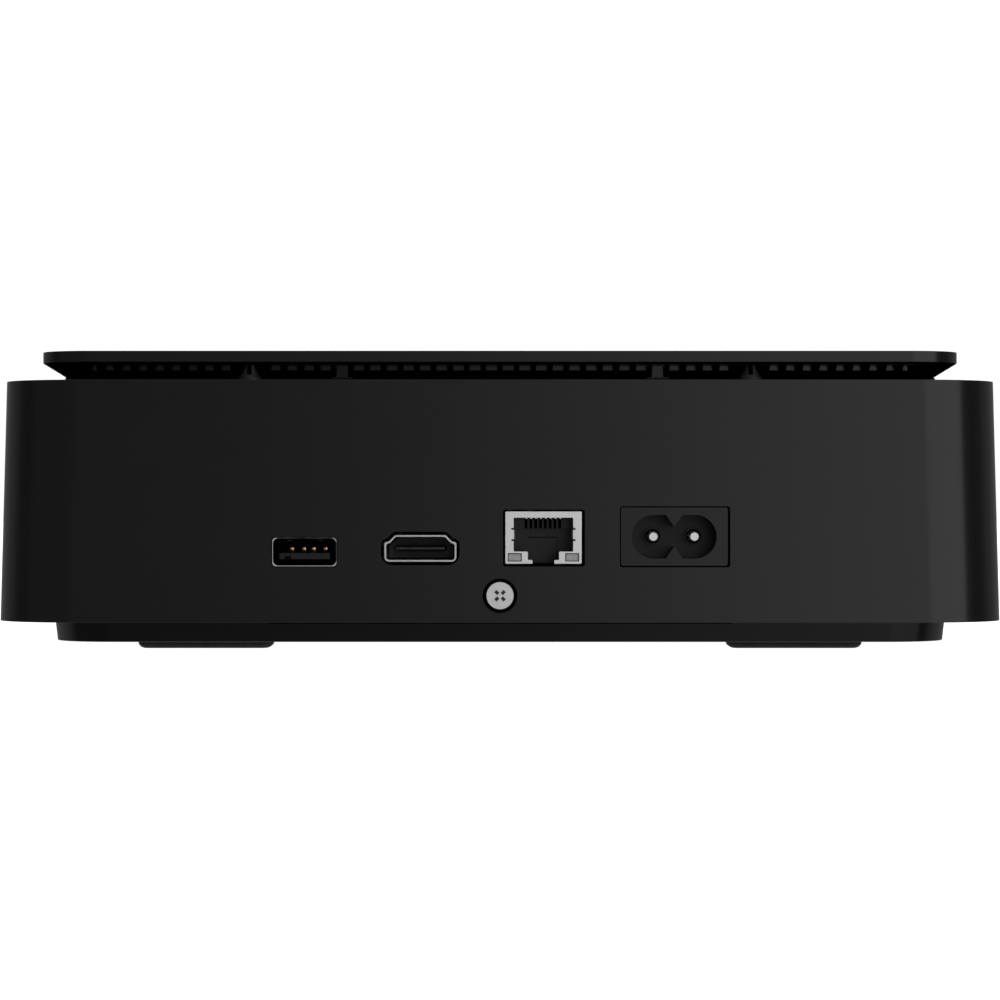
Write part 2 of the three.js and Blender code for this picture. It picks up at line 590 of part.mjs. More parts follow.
function addEthernetSocket() {
  const group = socketGroup(RJ45);
  const { width, height, depth, wall } = RJ45;
  const halfWidth = width / 2;
  const halfHeight = height / 2;
  const lensBottomZ = LED.z - LED.height / 2;
  const lensTopZ = LED.z + LED.height / 2;
  const lights = [-LED.x, LED.x].map((x) => (
    centredBlock(x, 0, LED.width + 2 * GAP, 2 * LED.depth, lensBottomZ - GAP, lensTopZ + GAP)
  ));
  const roomHalf = halfWidth - wall;
  const room = block(-roomHalf, roomHalf, wall, depth + CUT, -halfHeight - CUT, halfHeight - wall);
  const shield = block(-halfWidth, halfWidth, 0, depth, -halfHeight, halfHeight)
    .subtract(room)
    .subtract(rj45Mouth(0, -CUT, wall + CUT))
    .subtract(join(...lights));
  addPiece('rj45_shell', shield, 'steel', group);
  const insetX = halfWidth - wall - GAP;
  const frontY = wall + GAP;
  const insert = block(-insetX, insetX, frontY, depth - CUT, -halfHeight, halfHeight - wall - GAP)
    .subtract(rj45Mouth(GAP / 2, -CUT, frontY + RJ45_CAVITY.depth))
    .subtract(join(...lights));
  addPiece('rj45_insert', insert, 'blackInsert', group);
  const { count, pitch, width: contactWidth, height: contactHeight } = RJ45_CONTACTS;
  const topZ = halfHeight - RJ45_CAVITY.top - GAP;
  const backY = frontY + RJ45_CAVITY.depth - GAP;
  const fingers = [];
  for (let i = 0; i < count; i++) {
    const x = (i - (count - 1) / 2) * pitch;
    fingers.push(centredBlock(x, backY - RJ45_CONTACTS.depth / 2, contactWidth, RJ45_CONTACTS.depth,
      topZ - contactHeight, topZ));
  }
  const comb = centredBlock(0, backY - CUT / 2, count * pitch, CUT, topZ - contactHeight, topZ);
  addPiece('rj45_contacts', join(...fingers, comb), 'gold', group);
  for (const [name, x] of [['rj45_light_left', -LED.x], ['rj45_light_right', LED.x]]) {
    const lens = centredBlock(x, LED.depth / 2, LED.width, LED.depth - GAP, lensBottomZ, lensTopZ);
    addPiece(name, lens, 'lens', group);
  }
}

// The figure of eight that the mains plug fills.
function inletOutline() {
  const { lobeRadius, lobeX, waistHalf, notchHalf } = RECESS;
  const shape = new THREE.Shape();
  shape.moveTo(-notchHalf, -lobeRadius);
  shape.lineTo(0, -waistHalf);
  shape.lineTo(notchHalf, -lobeRadius);
  shape.absarc(lobeX, 0, lobeRadius, -Math.PI / 2, Math.PI / 2);
  shape.lineTo(notchHalf, lobeRadius);
  shape.lineTo(0, waistHalf);
  shape.lineTo(-notchHalf, lobeRadius);
  shape.absarc(-lobeX, 0, lobeRadius, Math.PI / 2, Math.PI * 1.5);
  return shape;
}

function addPowerInlet() {
  const group = addGroup(INLET.x, -bodyHalf(INLET.z), INLET.z);
  const flangeOutline = roundedRectangle(INLET.width - GAP, INLET.height - GAP, INLET.corner);
  const flange = wallPrism(flangeOutline, 0, INLET.flange);
  const housing = centredBlock(0, INLET.depth / 2, INLET_BODY.width, INLET.depth - CUT,
    -INLET_BODY.height / 2, INLET_BODY.height / 2);
  const pins = [-PIN.x, PIN.x];
  const pinHoles = pins.map((x) => rod(x, 0, PIN.radius + GAP, RECESS.depth - CUT, INLET.depth + CUT));
  const inlet = join(flange, housing)
    .subtract(wallPrism(inletOutline(), -CUT, RECESS.depth, CORNER_STEPS))
    .subtract(join(...pinHoles));
  addPiece('power_inlet', inlet, 'blackInsert', group);
  const tipY = RECESS.depth - PIN.length;
  const backY = INLET.depth + PIN.root;
  for (const [name, x] of [['power_pin_left', pins[0]], ['power_pin_right', pins[1]]]) {
    const outline = [[0, tipY], [PIN.radius * 0.55, tipY], [PIN.radius, tipY + PIN.radius * 0.7],
      [PIN.radius, backY], [0, backY]];
    const pin = new THREE.LatheGeometry(outline.map(([r, y]) => new THREE.Vector2(r, y)), ROUND / 2);
    addPiece(name, pin, 'steel', group).position.x = x;
  }
}

// ---------------------------------------------------------------- boards

function makeBoard(board) {
  const bottomZ = BOARD.topZ - BOARD.thickness;
  const holes = boardPosts(board).map(({ x, y }) => (
    upright(x, y, BOARD_SCREW.shankRadius + GAP, bottomZ - CUT, BOARD.topZ + CUT, ROUND / 2)
  ));
  return block(board.minX, board.maxX, board.minY, board.maxY, bottomZ, BOARD.topZ).subtract(join(...holes));
}

// A pan head over a shank, with the head's underside at the origin.
function makeBoardScrew() {
  const { headRadius, headHeight, shankRadius, shankLength } = BOARD_SCREW;
  const outline = [[0, -shankLength], [shankRadius, -shankLength], [shankRadius, 0], [headRadius, 0],
    [headRadius, headHeight * 0.6], [headRadius * 0.7, headHeight], [0, headHeight]];
  const geometry = new THREE.LatheGeometry(outline.map(([r, z]) => new THREE.Vector2(r, z)), ROUND / 2);
  geometry.rotateX(Math.PI / 2);
  return geometry;
}

// Boxes that stand on a board: name, finish, centre x and y, width, depth and height.
function addOnBoard(name, finish, x, y, width, depth, height, lift = 0) {
  const bottomZ = BOARD.topZ + GAP + lift;
  return addPiece(name, centredBlock(x, y, width, depth, bottomZ, bottomZ + height), finish);
}

function makeHeatsink() {
  const { size, base, height, fins, fin } = HEATSINK;
  const bottomZ = BOARD.topZ + PROCESSOR.height + 2 * GAP;
  const plate = centredBlock(PROCESSOR.x, PROCESSOR.y, size, size, bottomZ, bottomZ + base);
  const rows = [];
  for (let i = 0; i < fins; i++) {
    const x = PROCESSOR.x + (i / (fins - 1) - 0.5) * (size - fin);
    rows.push(centredBlock(x, PROCESSOR.y, fin, size, bottomZ + base / 2, bottomZ + height));
  }
  return join(plate, ...rows);
}

function addMainboard() {
  addPiece('mainboard', makeBoard(MAINBOARD), 'board');
  boardPosts(MAINBOARD).forEach(({ x, y }, index) => {
    const screw = addPiece(`mainboard_screw_${index + 1}`, makeBoardScrew(), 'zinc');
    screw.position.set(x, y, BOARD.topZ + GAP);
  });
  addOnBoard('processor', 'chip', PROCESSOR.x, PROCESSOR.y, PROCESSOR.size, PROCESSOR.size, PROCESSOR.height);
  addPiece('heatsink', makeHeatsink(), 'aluminium');
  addOnBoard('memory_socket', 'blackInsert', MEMORY_SOCKET.x, MEMORY.y, MEMORY_SOCKET.width,
    MEMORY_SOCKET.length, MEMORY_SOCKET.height);
  addOnBoard('memory_module', 'board', MEMORY.x, MEMORY.y, MEMORY.width, MEMORY.length,
    MEMORY.thickness, MEMORY.lift);
  addOnBoard('ssd', 'chip', DRIVE.x, DRIVE.y, DRIVE.length, DRIVE.width, DRIVE.thickness, DRIVE.lift);
  addOnBoard('ssd_socket', 'blackInsert', DRIVE_SOCKET.x, DRIVE.y, DRIVE_SOCKET.length, DRIVE.width,
    DRIVE_SOCKET.height);
  addOnBoard('wifi_card', 'board', WIRELESS.x, WIRELESS.y, WIRELESS.length, WIRELESS.width,
    WIRELESS.thickness, WIRELESS.lift);
  const holderBottomZ = BOARD.topZ + GAP;
  const pocketZ = holderBottomZ + CELL.floor - GAP;
  const holderTopZ = holderBottomZ + CELL.holderHeight;
  const holder = upright(CELL.x, CELL.y, CELL.holderRadius, holderBottomZ, holderTopZ)
    .subtract(upright(CELL.x, CELL.y, CELL.radius + GAP, pocketZ, holderTopZ + CUT));
  addPiece('coin_cell_holder', holder, 'blackInsert');
  const cell = upright(CELL.x, CELL.y, CELL.radius, pocketZ + GAP, pocketZ + GAP + CELL.height);
  addPiece('coin_cell', cell, 'steel');
}

function addPowerSupply() {
  addPiece('supply_board', makeBoard(SUPPLY), 'board');
  const screwPlaces = boardPosts(SUPPLY).filter((place, index) => index === 1 || index === 3);
  screwPlaces.forEach(({ x, y }, index) => {
    const screw = addPiece(`supply_screw_${index + 1}`, makeBoardScrew(), 'zinc');
    screw.position.set(x, y, BOARD.topZ + GAP);
  });
  const bottomZ = BOARD.topZ + GAP;
  const { x: coreX, y: coreY, width, depth, height, limb, slab } = TRANSFORMER;
  const coreTop = bottomZ + height;
  const core = centredBlock(coreX, coreY, width, depth, bottomZ, coreTop)
    .subtract(centredBlock(coreX, coreY, width - 2 * limb, depth + CUT, bottomZ + slab, coreTop - slab));
  addPiece('transformer_core', core, 'chip');
  const coil = upright(coreX, coreY, width / 2 - limb - GAP, bottomZ + slab + GAP, coreTop - slab - GAP);
  addPiece('transformer_coil', coil, 'winding');
  const { radius, groove, crimpZ, bevel } = CAPACITOR;
  const profile = [
    [0, 0], [radius, 0], [radius, crimpZ - CUT], [radius - groove, crimpZ], [radius, crimpZ + CUT],
    [radius, CAPACITOR.height - bevel], [radius - bevel, CAPACITOR.height], [0, CAPACITOR.height],
  ];
  const can = new THREE.LatheGeometry(profile.map(([r, z]) => new THREE.Vector2(r, z)), ROUND);
  can.rotateX(Math.PI / 2);
  addPiece('bulk_capacitor', can, 'sleeve').position.set(CAPACITOR.x, CAPACITOR.y, bottomZ);
  const ring = new THREE.TorusGeometry(CHOKE.ring, CHOKE.tube, CHOKE.tubeSides, ROUND);
  addPiece('line_choke', ring, 'winding').position.set(CHOKE.x, CHOKE.y, bottomZ + CHOKE.tube);
  const fin = SUPPLY_HEATSINK;
  addOnBoard('supply_heatsink', 'aluminium', fin.x, fin.y, fin.width, fin.thickness, fin.height);
  const endZ = BOARD.topZ + 3.5;
  const route = [[30, 36, endZ], [29, 41, endZ + 5], [22, 48, endZ + 6], [12, 51, endZ + 4], [9, 54, endZ]];
  addPiece('supply_harness', lead(route, 1.8, 16), 'wire');
}

// ---------------------------------------------------------------- fan

function makeFanFrame() {
  const { size, corner, height, bore, hub } = FAN;
  const housing = squareStack([-height, 0].map((z) => ({ half: size / 2, corner, z })));
  const duct = upright(0, 0, bore, -height - CUT, CUT, 2 * ROUND);
  const { width, thickness, screwHole } = FAN_STRUT;
  const spider = [0, 90].map((degrees) => (
    centredBlock(0, 0, size, width, -height, -height + thickness).rotate([0, 0, degrees + 45])
  ));
  const cup = upright(0, 0, hub, -height, -height + thickness);
  const holeX = size / 2 - corner;
  const holes = [-1, 1].flatMap((a) => [-1, 1].map((b) => (
    upright(a * holeX, b * holeX, screwHole, -height - CUT, CUT, ROUND / 2)
  )));
  return join(housing.subtract(duct), ...spider, cup).subtract(join(...holes));
}

// One blade: sections from the hub to the tip, each turned less steeply than the last.
function makeBlade(bottomZ, topZ) {
  const { thickness, pitch, span, sections } = FAN_BLADE;
  const positions = [];
  const indices = [];
  const midZ = (bottomZ + topZ) / 2;
  const rise = topZ - bottomZ;
  for (let i = 0; i <= sections; i++) {
    const share = i / sections;
    const radius = FAN.hub - CUT + (FAN.tip - FAN.hub + CUT) * share;
    const halfSweep = span * (1 - 0.35 * share);
    const halfRise = rise / 2 * (1 - pitch * 0.5 * share);
    for (const [end, side] of [[-1, -1], [1, -1], [1, 1], [-1, 1]]) {
      const angle = end * halfSweep - share * pitch;
      const z = midZ + end * (halfRise - thickness / 2) + side * thickness / 2;
      positions.push(radius * Math.cos(angle), radius * Math.sin(angle), z);
    }
  }
  for (let i = 0; i < sections; i++) {
    for (let j = 0; j < 4; j++) {
      const a = i * 4 + j;
      const b = i * 4 + (j + 1) % 4;
      indices.push(a, b + 4, a + 4, a, b, b + 4);
    }
  }
  const last = sections * 4;
  indices.push(0, 2, 1, 0, 3, 2, last, last + 1, last + 2, last, last + 2, last + 3);
  const geometry = new THREE.BufferGeometry();
  geometry.setAttribute('position', new THREE.Float32BufferAttribute(positions, 3));
  geometry.setIndex(indices);
  return toSolid(geometry);
}

function makeRotor() {
  const bottomZ = -FAN.height + FAN_STRUT.thickness + FAN.clearance;
  const topZ = -FAN.clearance;
  const hub = upright(0, 0, FAN.hub, bottomZ, topZ);
  const blade = makeBlade(bottomZ + CUT, topZ - CUT);
  const blades = [];
  for (let i = 0; i < FAN.blades; i++) {
    blades.push(blade.rotate([0, 0, 360 / FAN.blades * i]));
  }
  return join(hub, ...blades);
}

function addFan() {
  const group = addGroup(0, 0, FAN.topZ);
  addPiece('fan_frame', makeFanFrame(), 'blackInsert', group);
  addPiece('fan_rotor', makeRotor(), 'blackInsert', group);
  const leadZ = FAN.topZ - FAN.height;
  addPiece('fan_lead', lead([[-30, 47.5, leadZ + 4], [-18, 52, leadZ - 2], [-8, 60, leadZ - 10],
    [-6, 62, BOARD.topZ + 4]], 0.9, 14), 'wire');
}

// ---------------------------------------------------------------- front controls and antennas

function addFrontControls() {
  const { x, z, radius, flangeRadius, flange, stemRadius } = BUTTON;
  const button = join(
    rod(0, 0, radius, BUTTON_Y.flangeBack, BUTTON_Y.face, 2 * ROUND),
    rod(0, 0, flangeRadius, BUTTON_Y.flangeBack, BUTTON_Y.flangeBack + flange),
    rod(0, 0, stemRadius, BUTTON_Y.stemBack, BUTTON_Y.flangeBack + flange),
  );
  const group = addGroup(x, 0, z);
  addPiece('power_button', button, 'blackShell', group);
  const plunger = rod(0, 0, PLUNGER.radius, PLUNGER.back, PLUNGER.front);
  addPiece('switch_plunger', plunger, 'chip', group);
  const half = SWITCH.size / 2;
  const housing = block(-half, half, SWITCH.back, SWITCH.front, -half, half)
    .subtract(rod(0, 0, PLUNGER.radius + GAP, PLUNGER.back - CUT, SWITCH.front + CUT));
  addPiece('power_switch', housing, 'chip', group);
  const boardBack = FRONT_BOARD.front - FRONT_BOARD.thickness;
  const lower = FRONT_BOARD.height / 2;
  addPiece('front_board', block(-FRONT_BOARD.width / 2, FRONT_BOARD.width / 2 - 2 * radius, boardBack,
    FRONT_BOARD.front, -lower, lower), 'board', group);
  addPiece('light_pipe', rod(LIGHT.dx, 0, LIGHT.radius, LIGHT.back, LIGHT.face), 'lens', group);
}

function addAntennas() {
  const antenna = { length: 42, height: 9, thickness: 0.6, y: 40, z: 34, fromWall: 0.5 };
  const face = bodyHalf(antenna.z + antenna.height) - BODY.wall - antenna.fromWall;
  for (const [name, side] of [['antenna_left', -1], ['antenna_right', 1]]) {
    const outerX = side * face;
    const innerX = side * (face - antenna.thickness);
    const blade = centredBlock((outerX + innerX) / 2, antenna.y, antenna.thickness, antenna.length,
      antenna.z - antenna.height / 2, antenna.z + antenna.height / 2);
    addPiece(name, blade, 'board');
    const cardX = -30 + side * 6;
    const endX = side * (face - antenna.thickness - 1.2);
    const route = [[cardX, 69, BOARD.topZ + 6], [cardX + side * 12, 78, BOARD.topZ + 10],
      [endX * 0.75, 82, antenna.z - 6], [endX - side * 4, 70, antenna.z], [endX, 58, antenna.z]];
    addPiece(`${name}_lead`, lead(route, 0.6, 20), 'wire');
  }
}

addCasing();
addUsbSocket();
addHdmiSocket();
addEthernetSocket();
addPowerInlet();
addMainboard();
addPowerSupply();
addFan();
addFrontControls();
addAntennas();

export default miniPc;
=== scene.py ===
"""A black mini PC seen from its rear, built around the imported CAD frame.

Lengths in this file are millimetres unless a name says otherwise; MM turns them into metres.
"""
import json
import math

import bmesh
import bpy
from mathutils import Matrix, Vector


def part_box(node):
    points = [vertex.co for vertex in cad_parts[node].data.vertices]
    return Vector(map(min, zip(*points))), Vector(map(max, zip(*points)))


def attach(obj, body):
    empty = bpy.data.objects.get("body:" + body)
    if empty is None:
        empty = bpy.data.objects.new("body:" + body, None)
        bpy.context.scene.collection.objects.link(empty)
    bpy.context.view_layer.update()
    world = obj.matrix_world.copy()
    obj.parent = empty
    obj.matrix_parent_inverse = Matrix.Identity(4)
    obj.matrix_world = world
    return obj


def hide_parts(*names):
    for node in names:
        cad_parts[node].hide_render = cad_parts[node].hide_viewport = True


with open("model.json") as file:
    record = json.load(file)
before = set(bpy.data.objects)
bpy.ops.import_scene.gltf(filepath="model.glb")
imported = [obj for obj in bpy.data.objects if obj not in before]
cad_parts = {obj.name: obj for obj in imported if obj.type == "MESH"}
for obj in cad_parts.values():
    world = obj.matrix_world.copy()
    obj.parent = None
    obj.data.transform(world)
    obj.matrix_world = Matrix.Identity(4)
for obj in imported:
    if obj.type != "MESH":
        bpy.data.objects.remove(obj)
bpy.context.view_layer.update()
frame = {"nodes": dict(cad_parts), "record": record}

MM = 0.001
QUARTER = math.pi / 2


# ---------------------------------------------------------------- sizes that come from the frame

def span(node):
    """Lowest and highest corner of a CAD node, in millimetres."""
    low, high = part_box(node)
    return Vector(low) / MM, Vector(high) / MM


def mouth(node):
    """Centre of a socket's mouth: the middle of its box, at its rearmost plane."""
    low, high = span(node)
    return Vector(((low.x + high.x) / 2, low.y, (low.z + high.z) / 2))


SHELL_LOW, SHELL_HIGH = span("body_shell")
LID_HIGH = span("top_lid")[1]
SCREW_LOW = span("rear_screw")[0]

BODY_BOTTOM_Z = SHELL_LOW.z
BODY_TOP_Z = SHELL_HIGH.z
BODY_BOTTOM_HALF = SHELL_HIGH.x
BODY_TAPER = 1.2
BODY_TOP_HALF = BODY_BOTTOM_HALF - BODY_TAPER
BODY_CORNER = 17.0
BODY_WALL = 2.4
BODY_LOW_EDGE = 0.04
BODY_HIGH_EDGE = 0.1

# Room between neighbouring pieces, between pieces that all but touch, and a cutter's reach past its work.
GAP = 0.3
TOUCH_GAP = 0.02
CUT = 1.0

LID_TOP_Z = LID_HIGH.z
LID_THICKNESS = 2.36
LID_BOTTOM_Z = LID_TOP_Z - LID_THICKNESS
LID_HALF = LID_HIGH.x
LID_CORNER = 10.7


def body_half(z):
    """Half-width of the shell's outside at a height: it tapers towards the top."""
    share = (z - BODY_BOTTOM_Z) / (BODY_TOP_Z - BODY_BOTTOM_Z)
    return BODY_BOTTOM_HALF + (BODY_TOP_HALF - BODY_BOTTOM_HALF) * share


# ---------------------------------------------------------------- mesh helpers

def make_object(name, points, faces):
    mesh = bpy.data.meshes.new(name)
    mesh.from_pydata([[c * MM for c in p] for p in points], [], faces)
    obj = bpy.data.objects.new(name, mesh)
    bpy.context.scene.collection.objects.link(obj)
    return obj


def ring_points(half_x, half_y, corner, z, centre=(0, 0), steps=16):
    """A rounded rectangle at one height, counter-clockwise from +X."""
    points = []
    for quarter in range(4):
        sign_x = 1 if quarter in (0, 3) else -1
        sign_y = 1 if quarter in (0, 1) else -1
        for step in range(steps + 1):
            angle = (quarter + step / steps) * QUARTER
            x = sign_x * (half_x - corner) + corner * math.cos(angle)
            y = sign_y * (half_y - corner) + corner * math.sin(angle)
            points.append((centre[0] + x, centre[1] + y, z))
    return points


def skin_rings(name, rings):
    """Joins rings of equal length into one closed solid with flat ends."""
    count = len(rings[0])
    points = [p for ring in rings for p in ring]
    faces = [list(range(count))[::-1]]
    for row in range(len(rings) - 1):
        for i in range(count):
            a = row * count + i
            b = row * count + (i + 1) % count
            faces.append([a, b, b + count, a + count])
    last = (len(rings) - 1) * count
    faces.append([last + i for i in range(count)])
    return make_object(name, points, faces)


def square_stack(name, levels, centre=(0, 0), steps=16):
    """Levels are (half, corner, z)."""
    return skin_rings(name, [ring_points(h, h, c, z, centre, steps) for h, c, z in levels])


def square_block(name, half, corner, low_z, high_z):
    return square_stack(name, [(half, corner, low_z), (half, corner, high_z)])


def row_x(index, count, pitch):
    """Where one of a centred row of equal steps lies."""
    return (index - (count - 1) / 2) * pitch


def rolled_levels(half_at, corner, low_z, high_z, low_edge, high_edge, steps=5):
    """Levels of a block whose lower and upper outside edges are rolled."""
    levels = []
    for i in range(steps + 1):
        angle = QUARTER * i / steps
        inset = low_edge * (1 - math.sin(angle))
        z = low_z + low_edge * (1 - math.cos(angle))
        levels.append((half_at(z) - inset, corner - inset, z))
    for i in range(steps + 1):
        angle = QUARTER * i / steps
        inset = high_edge * (1 - math.cos(angle))
        z = high_z - high_edge * (1 - math.sin(angle))
        levels.append((half_at(z) - inset, corner - inset, z))
    return levels


def box_object(name, low, high):
    x0, y0, z0 = low
    x1, y1, z1 = high
    points = [(x, y, z) for z in (z0, z1) for x, y in ((x0, y0), (x1, y0), (x1, y1), (x0, y1))]
    faces = [[3, 2, 1, 0], [4, 5, 6, 7], [0, 1, 5, 4], [1, 2, 6, 5], [2, 3, 7, 6], [3, 0, 4, 7]]
    return make_object(name, points, faces)


def boxes_object(name, boxes):
    """Many boxes in one object, each given by its lowest and highest corner."""
    return join_objects(name, [box_object(name, low, high) for low, high in boxes])


def prism(name, outline, near_y, far_y):
    """An outline of (x, z) points, counter-clockwise as seen from the rear, carried from near_y to far_y."""
    count = len(outline)
    points = [(x, near_y, z) for x, z in outline] + [(x, far_y, z) for x, z in outline]
    faces = [list(range(count)), [count + i for i in range(count)][::-1]]
    for i in range(count):
        j = (i + 1) % count
        faces.append([j, i, count + i, count + j])
    return make_object(name, points, faces)


def loft_outlines(name, layers):
    """Outlines of (x, z) points at increasing y, joined into one solid."""
    count = len(layers[0][0])
    points = [(x, y, z) for outline, y in layers for x, z in outline]
    faces = [list(range(count))]
    for row in range(len(layers) - 1):
        for i in range(count):
            a = row * count + i
            b = row * count + (i + 1) % count
            faces.append([b, a, a + count, b + count])
    last = (len(layers) - 1) * count
    faces.append([last + i for i in range(count)][::-1])
    return make_object(name, points, faces)


def rounded_outline(half_x, half_z, corner, steps=6, centre=(0, 0)):
    return [(x, z) for x, z, _ in ring_points(half_x, half_z, corner, 0, centre, steps)]


def lathe(name, profile, axis="z", centre=(0, 0, 0), sides=48):
    """Turns (radius, height) points about an axis; profiles start and end on the axis."""
    points = []
    faces = []
    inner = profile[1:-1]
    points.append((0, 0, profile[0][1]))
    for radius, height in inner:
        for i in range(sides):
            angle = 2 * math.pi * i / sides
            points.append((radius * math.cos(angle), radius * math.sin(angle), height))
    points.append((0, 0, profile[-1][1]))
    top = len(points) - 1
    for i in range(sides):
        j = (i + 1) % sides
        faces.append([0, 1 + j, 1 + i])
        for row in range(len(inner) - 1):
            a = 1 + row * sides
            faces.append([a + i, a + j, a + sides + j, a + sides + i])
        last = 1 + (len(inner) - 1) * sides
        faces.append([last + i, last + j, top])
    obj = make_object(name, points, faces)
    if axis == "y":
        obj.data.transform(Matrix.Rotation(-QUARTER, 4, "X"))
    obj.data.transform(Matrix.Translation(Vector(centre) * MM))
    return obj


def turned_y(name, profile, at, sides=48):
    """Turns (radius, y) points about the line along Y through a place."""
    return lathe(name, profile, "y", (at.x, 0, at.z), sides)


def rod(radius, low, high):
    """The profile of a plain cylinder."""
    return [(0, low), (radius, low), (radius, high), (0, high)]


def join_objects(name, objects):
    """One object out of several, each keeping its own closed surface."""
    work = bmesh.new()
    for obj in objects:
        work.from_mesh(obj.data)
        bpy.data.objects.remove(obj)
    mesh = bpy.data.meshes.new(name)
    work.to_mesh(mesh)
    work.free()
    joined = bpy.data.objects.new(name, mesh)
    bpy.context.scene.collection.objects.link(joined)
    return joined


def bake_modifiers(obj):
    graph = bpy.context.evaluated_depsgraph_get()
    baked = bpy.data.meshes.new_from_object(obj.evaluated_get(graph))
    old = obj.data
    obj.modifiers.clear()
    obj.data = baked
    bpy.data.meshes.remove(old)
    return obj


def combine(obj, other, operation="DIFFERENCE"):
    """Cuts other out of obj, or adds it, and removes other."""
    modifier = obj.modifiers.new("combine", "BOOLEAN")
    modifier.object = other
    modifier.operation = operation
    modifier.solver = "EXACT"
    bake_modifiers(obj)
    bpy.data.objects.remove(other)
    return obj


def soften(obj, width, segments=2, angle=40):
    """Rolls every edge sharper than an angle."""
    modifier = obj.modifiers.new("soften", "BEVEL")
    modifier.width = width * MM
    modifier.segments = segments
    modifier.limit_method = "ANGLE"
    modifier.angle_limit = math.radians(angle)
    modifier.use_clamp_overlap = True
    return bake_modifiers(obj)


def smooth(obj, angle=35):
    """Smooth shading that keeps real corners sharp and flat faces flat."""
    obj.data.shade_smooth()
    obj.data.set_sharp_from_angle(angle=math.radians(angle))
    modifier = obj.modifiers.new("flat faces", "WEIGHTED_NORMAL")
    modifier.keep_sharp = True
    modifier.weight = 80
    return obj


def move(obj, offset):
    obj.data.transform(Matrix.Translation(Vector(offset) * MM))
    return obj


def turn_z(obj, degrees):
    obj.data.transform(Matrix.Rotation(math.radians(degrees), 4, "Z"))
    return obj


def finish_piece(obj, material, body="casing", replaces=(), angle=35):
    """Shades a piece, gives it its material and ties it to the frame."""
    smooth(obj, angle)
    obj.data.materials.clear()
    obj.data.materials.append(material)
    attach(obj, body)
    if replaces:
        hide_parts(*replaces)
    return obj


# ---------------------------------------------------------------- materials

class Nodes:
    """Short calls for building a material's node tree."""

    def __init__(self, name):
        self.material = bpy.data.materials.new(name)
        self.material.use_nodes = True
        self.tree = self.material.node_tree
        self.shader = self.tree.nodes["Principled BSDF"]
        self.place = self.tree.nodes.new("ShaderNodeTexCoord").outputs["Object"]

    def add(self, kind, **inputs):
        node = self.tree.nodes.new(kind)
        for key, value in inputs.items():
            socket = node.inputs[key.replace("_", " ")]
            if hasattr(value, "links"):
                self.tree.links.new(value, socket)
            else:
                socket.default_value = value
        return node

    def link(self, output, name):
        self.tree.links.new(output, self.shader.inputs[name])

    def set(self, **values):
        for key, value in values.items():
            self.shader.inputs[key.replace("_", " ")].default_value = value

    def noise(self, size_mm, detail=2.0, roughness=0.5):
        """Noise whose features are about size_mm across."""
        return self.add("ShaderNodeTexNoise", Vector=self.place, Scale=1 / (size_mm * MM),
                        Detail=detail, Roughness=roughness).outputs["Fac"]

    def between(self, factor, low, high, start=0.3, end=0.7):
        """Maps a 0..1 value onto low..high."""
        node = self.add("ShaderNodeMapRange", Value=factor)
        node.inputs["From Min"].default_value = start
        node.inputs["From Max"].default_value = end
        node.inputs["To Min"].default_value = low
        node.inputs["To Max"].default_value = high
        return node.outputs["Result"]

    def tint(self, factor, dark, light):
        """Mixes two colours by a 0..1 value; dark may be a colour or another node's output."""
        node = self.tree.nodes.new("ShaderNodeMixRGB")
        self.tree.links.new(factor, node.inputs["Fac"])
        if hasattr(dark, "links"):
            self.tree.links.new(dark, node.inputs["Color1"])
        else:
            node.inputs["Color1"].default_value = (*dark, 1)
        node.inputs["Color2"].default_value = (*light, 1)
        return node.outputs["Color"]

    def mottle(self, size_mm, detail, dark, light):
        """Soft patches of colour between two colours."""
        patches = self.between(self.noise(size_mm, detail=detail), 0, 1)
        self.link(self.tint(patches, dark, light), "Base Color")

    def gloss(self, size_mm, detail, low, high):
        """Roughness that wanders between two values."""
        self.link(self.between(self.noise(size_mm, detail=detail), low, high), "Roughness")

    def bump(self, height, depth_mm, strength=1.0):
        node = self.add("ShaderNodeBump", Height=height, Strength=strength, Distance=depth_mm * MM)
        self.link(node.outputs["Normal"], "Normal")


GRAIN_DEPTH = 0.0006
GLOSS_SHIFT = 0.008


def grey(level):
    return (level,) * 3


def moulded_plastic(name, dark, light, gloss, grain_mm=0.2, specular=0.5):
    """Moulded plastic: a spark-eroded grain, faint flow mottling and small shifts in gloss."""
    nodes = Nodes(name)
    nodes.shader.inputs["Specular IOR Level"].default_value = specular
    nodes.mottle(14, 3, dark, light)
    nodes.gloss(5, 4, gloss - GLOSS_SHIFT, gloss + GLOSS_SHIFT)
    nodes.set(IOR=1.45)
    nodes.bump(nodes.noise(grain_mm, detail=1.5), GRAIN_DEPTH)
    return nodes.material


def soft_rubber(name):
    nodes = Nodes(name)
    nodes.mottle(3, 4, grey(0.014), grey(0.022))
    nodes.gloss(1.2, 3, 0.68, 0.85)
    nodes.set(IOR=1.45)
    nodes.bump(nodes.noise(0.18, detail=3), 0.012)
    return nodes.material


def plated_metal(name, dark, light, gloss, grain_stretch=(1, 1, 12)):
    """Plated sheet metal with a faint rolled grain and small stains."""
    nodes = Nodes(name)
    mapping = nodes.add("ShaderNodeMapping", Vector=nodes.place)
    mapping.inputs["Scale"].default_value = grain_stretch
    grain = nodes.add("ShaderNodeTexNoise", Vector=mapping.outputs["Vector"], Scale=1 / (0.6 * MM),
                      Detail=3.0).outputs["Fac"]
    nodes.mottle(1.8, 4, dark, light)
    nodes.link(nodes.between(grain, gloss - 0.02, gloss + 0.03), "Roughness")
    nodes.set(Metallic=1.0)
    nodes.bump(grain, 0.0004)
    return nodes.material


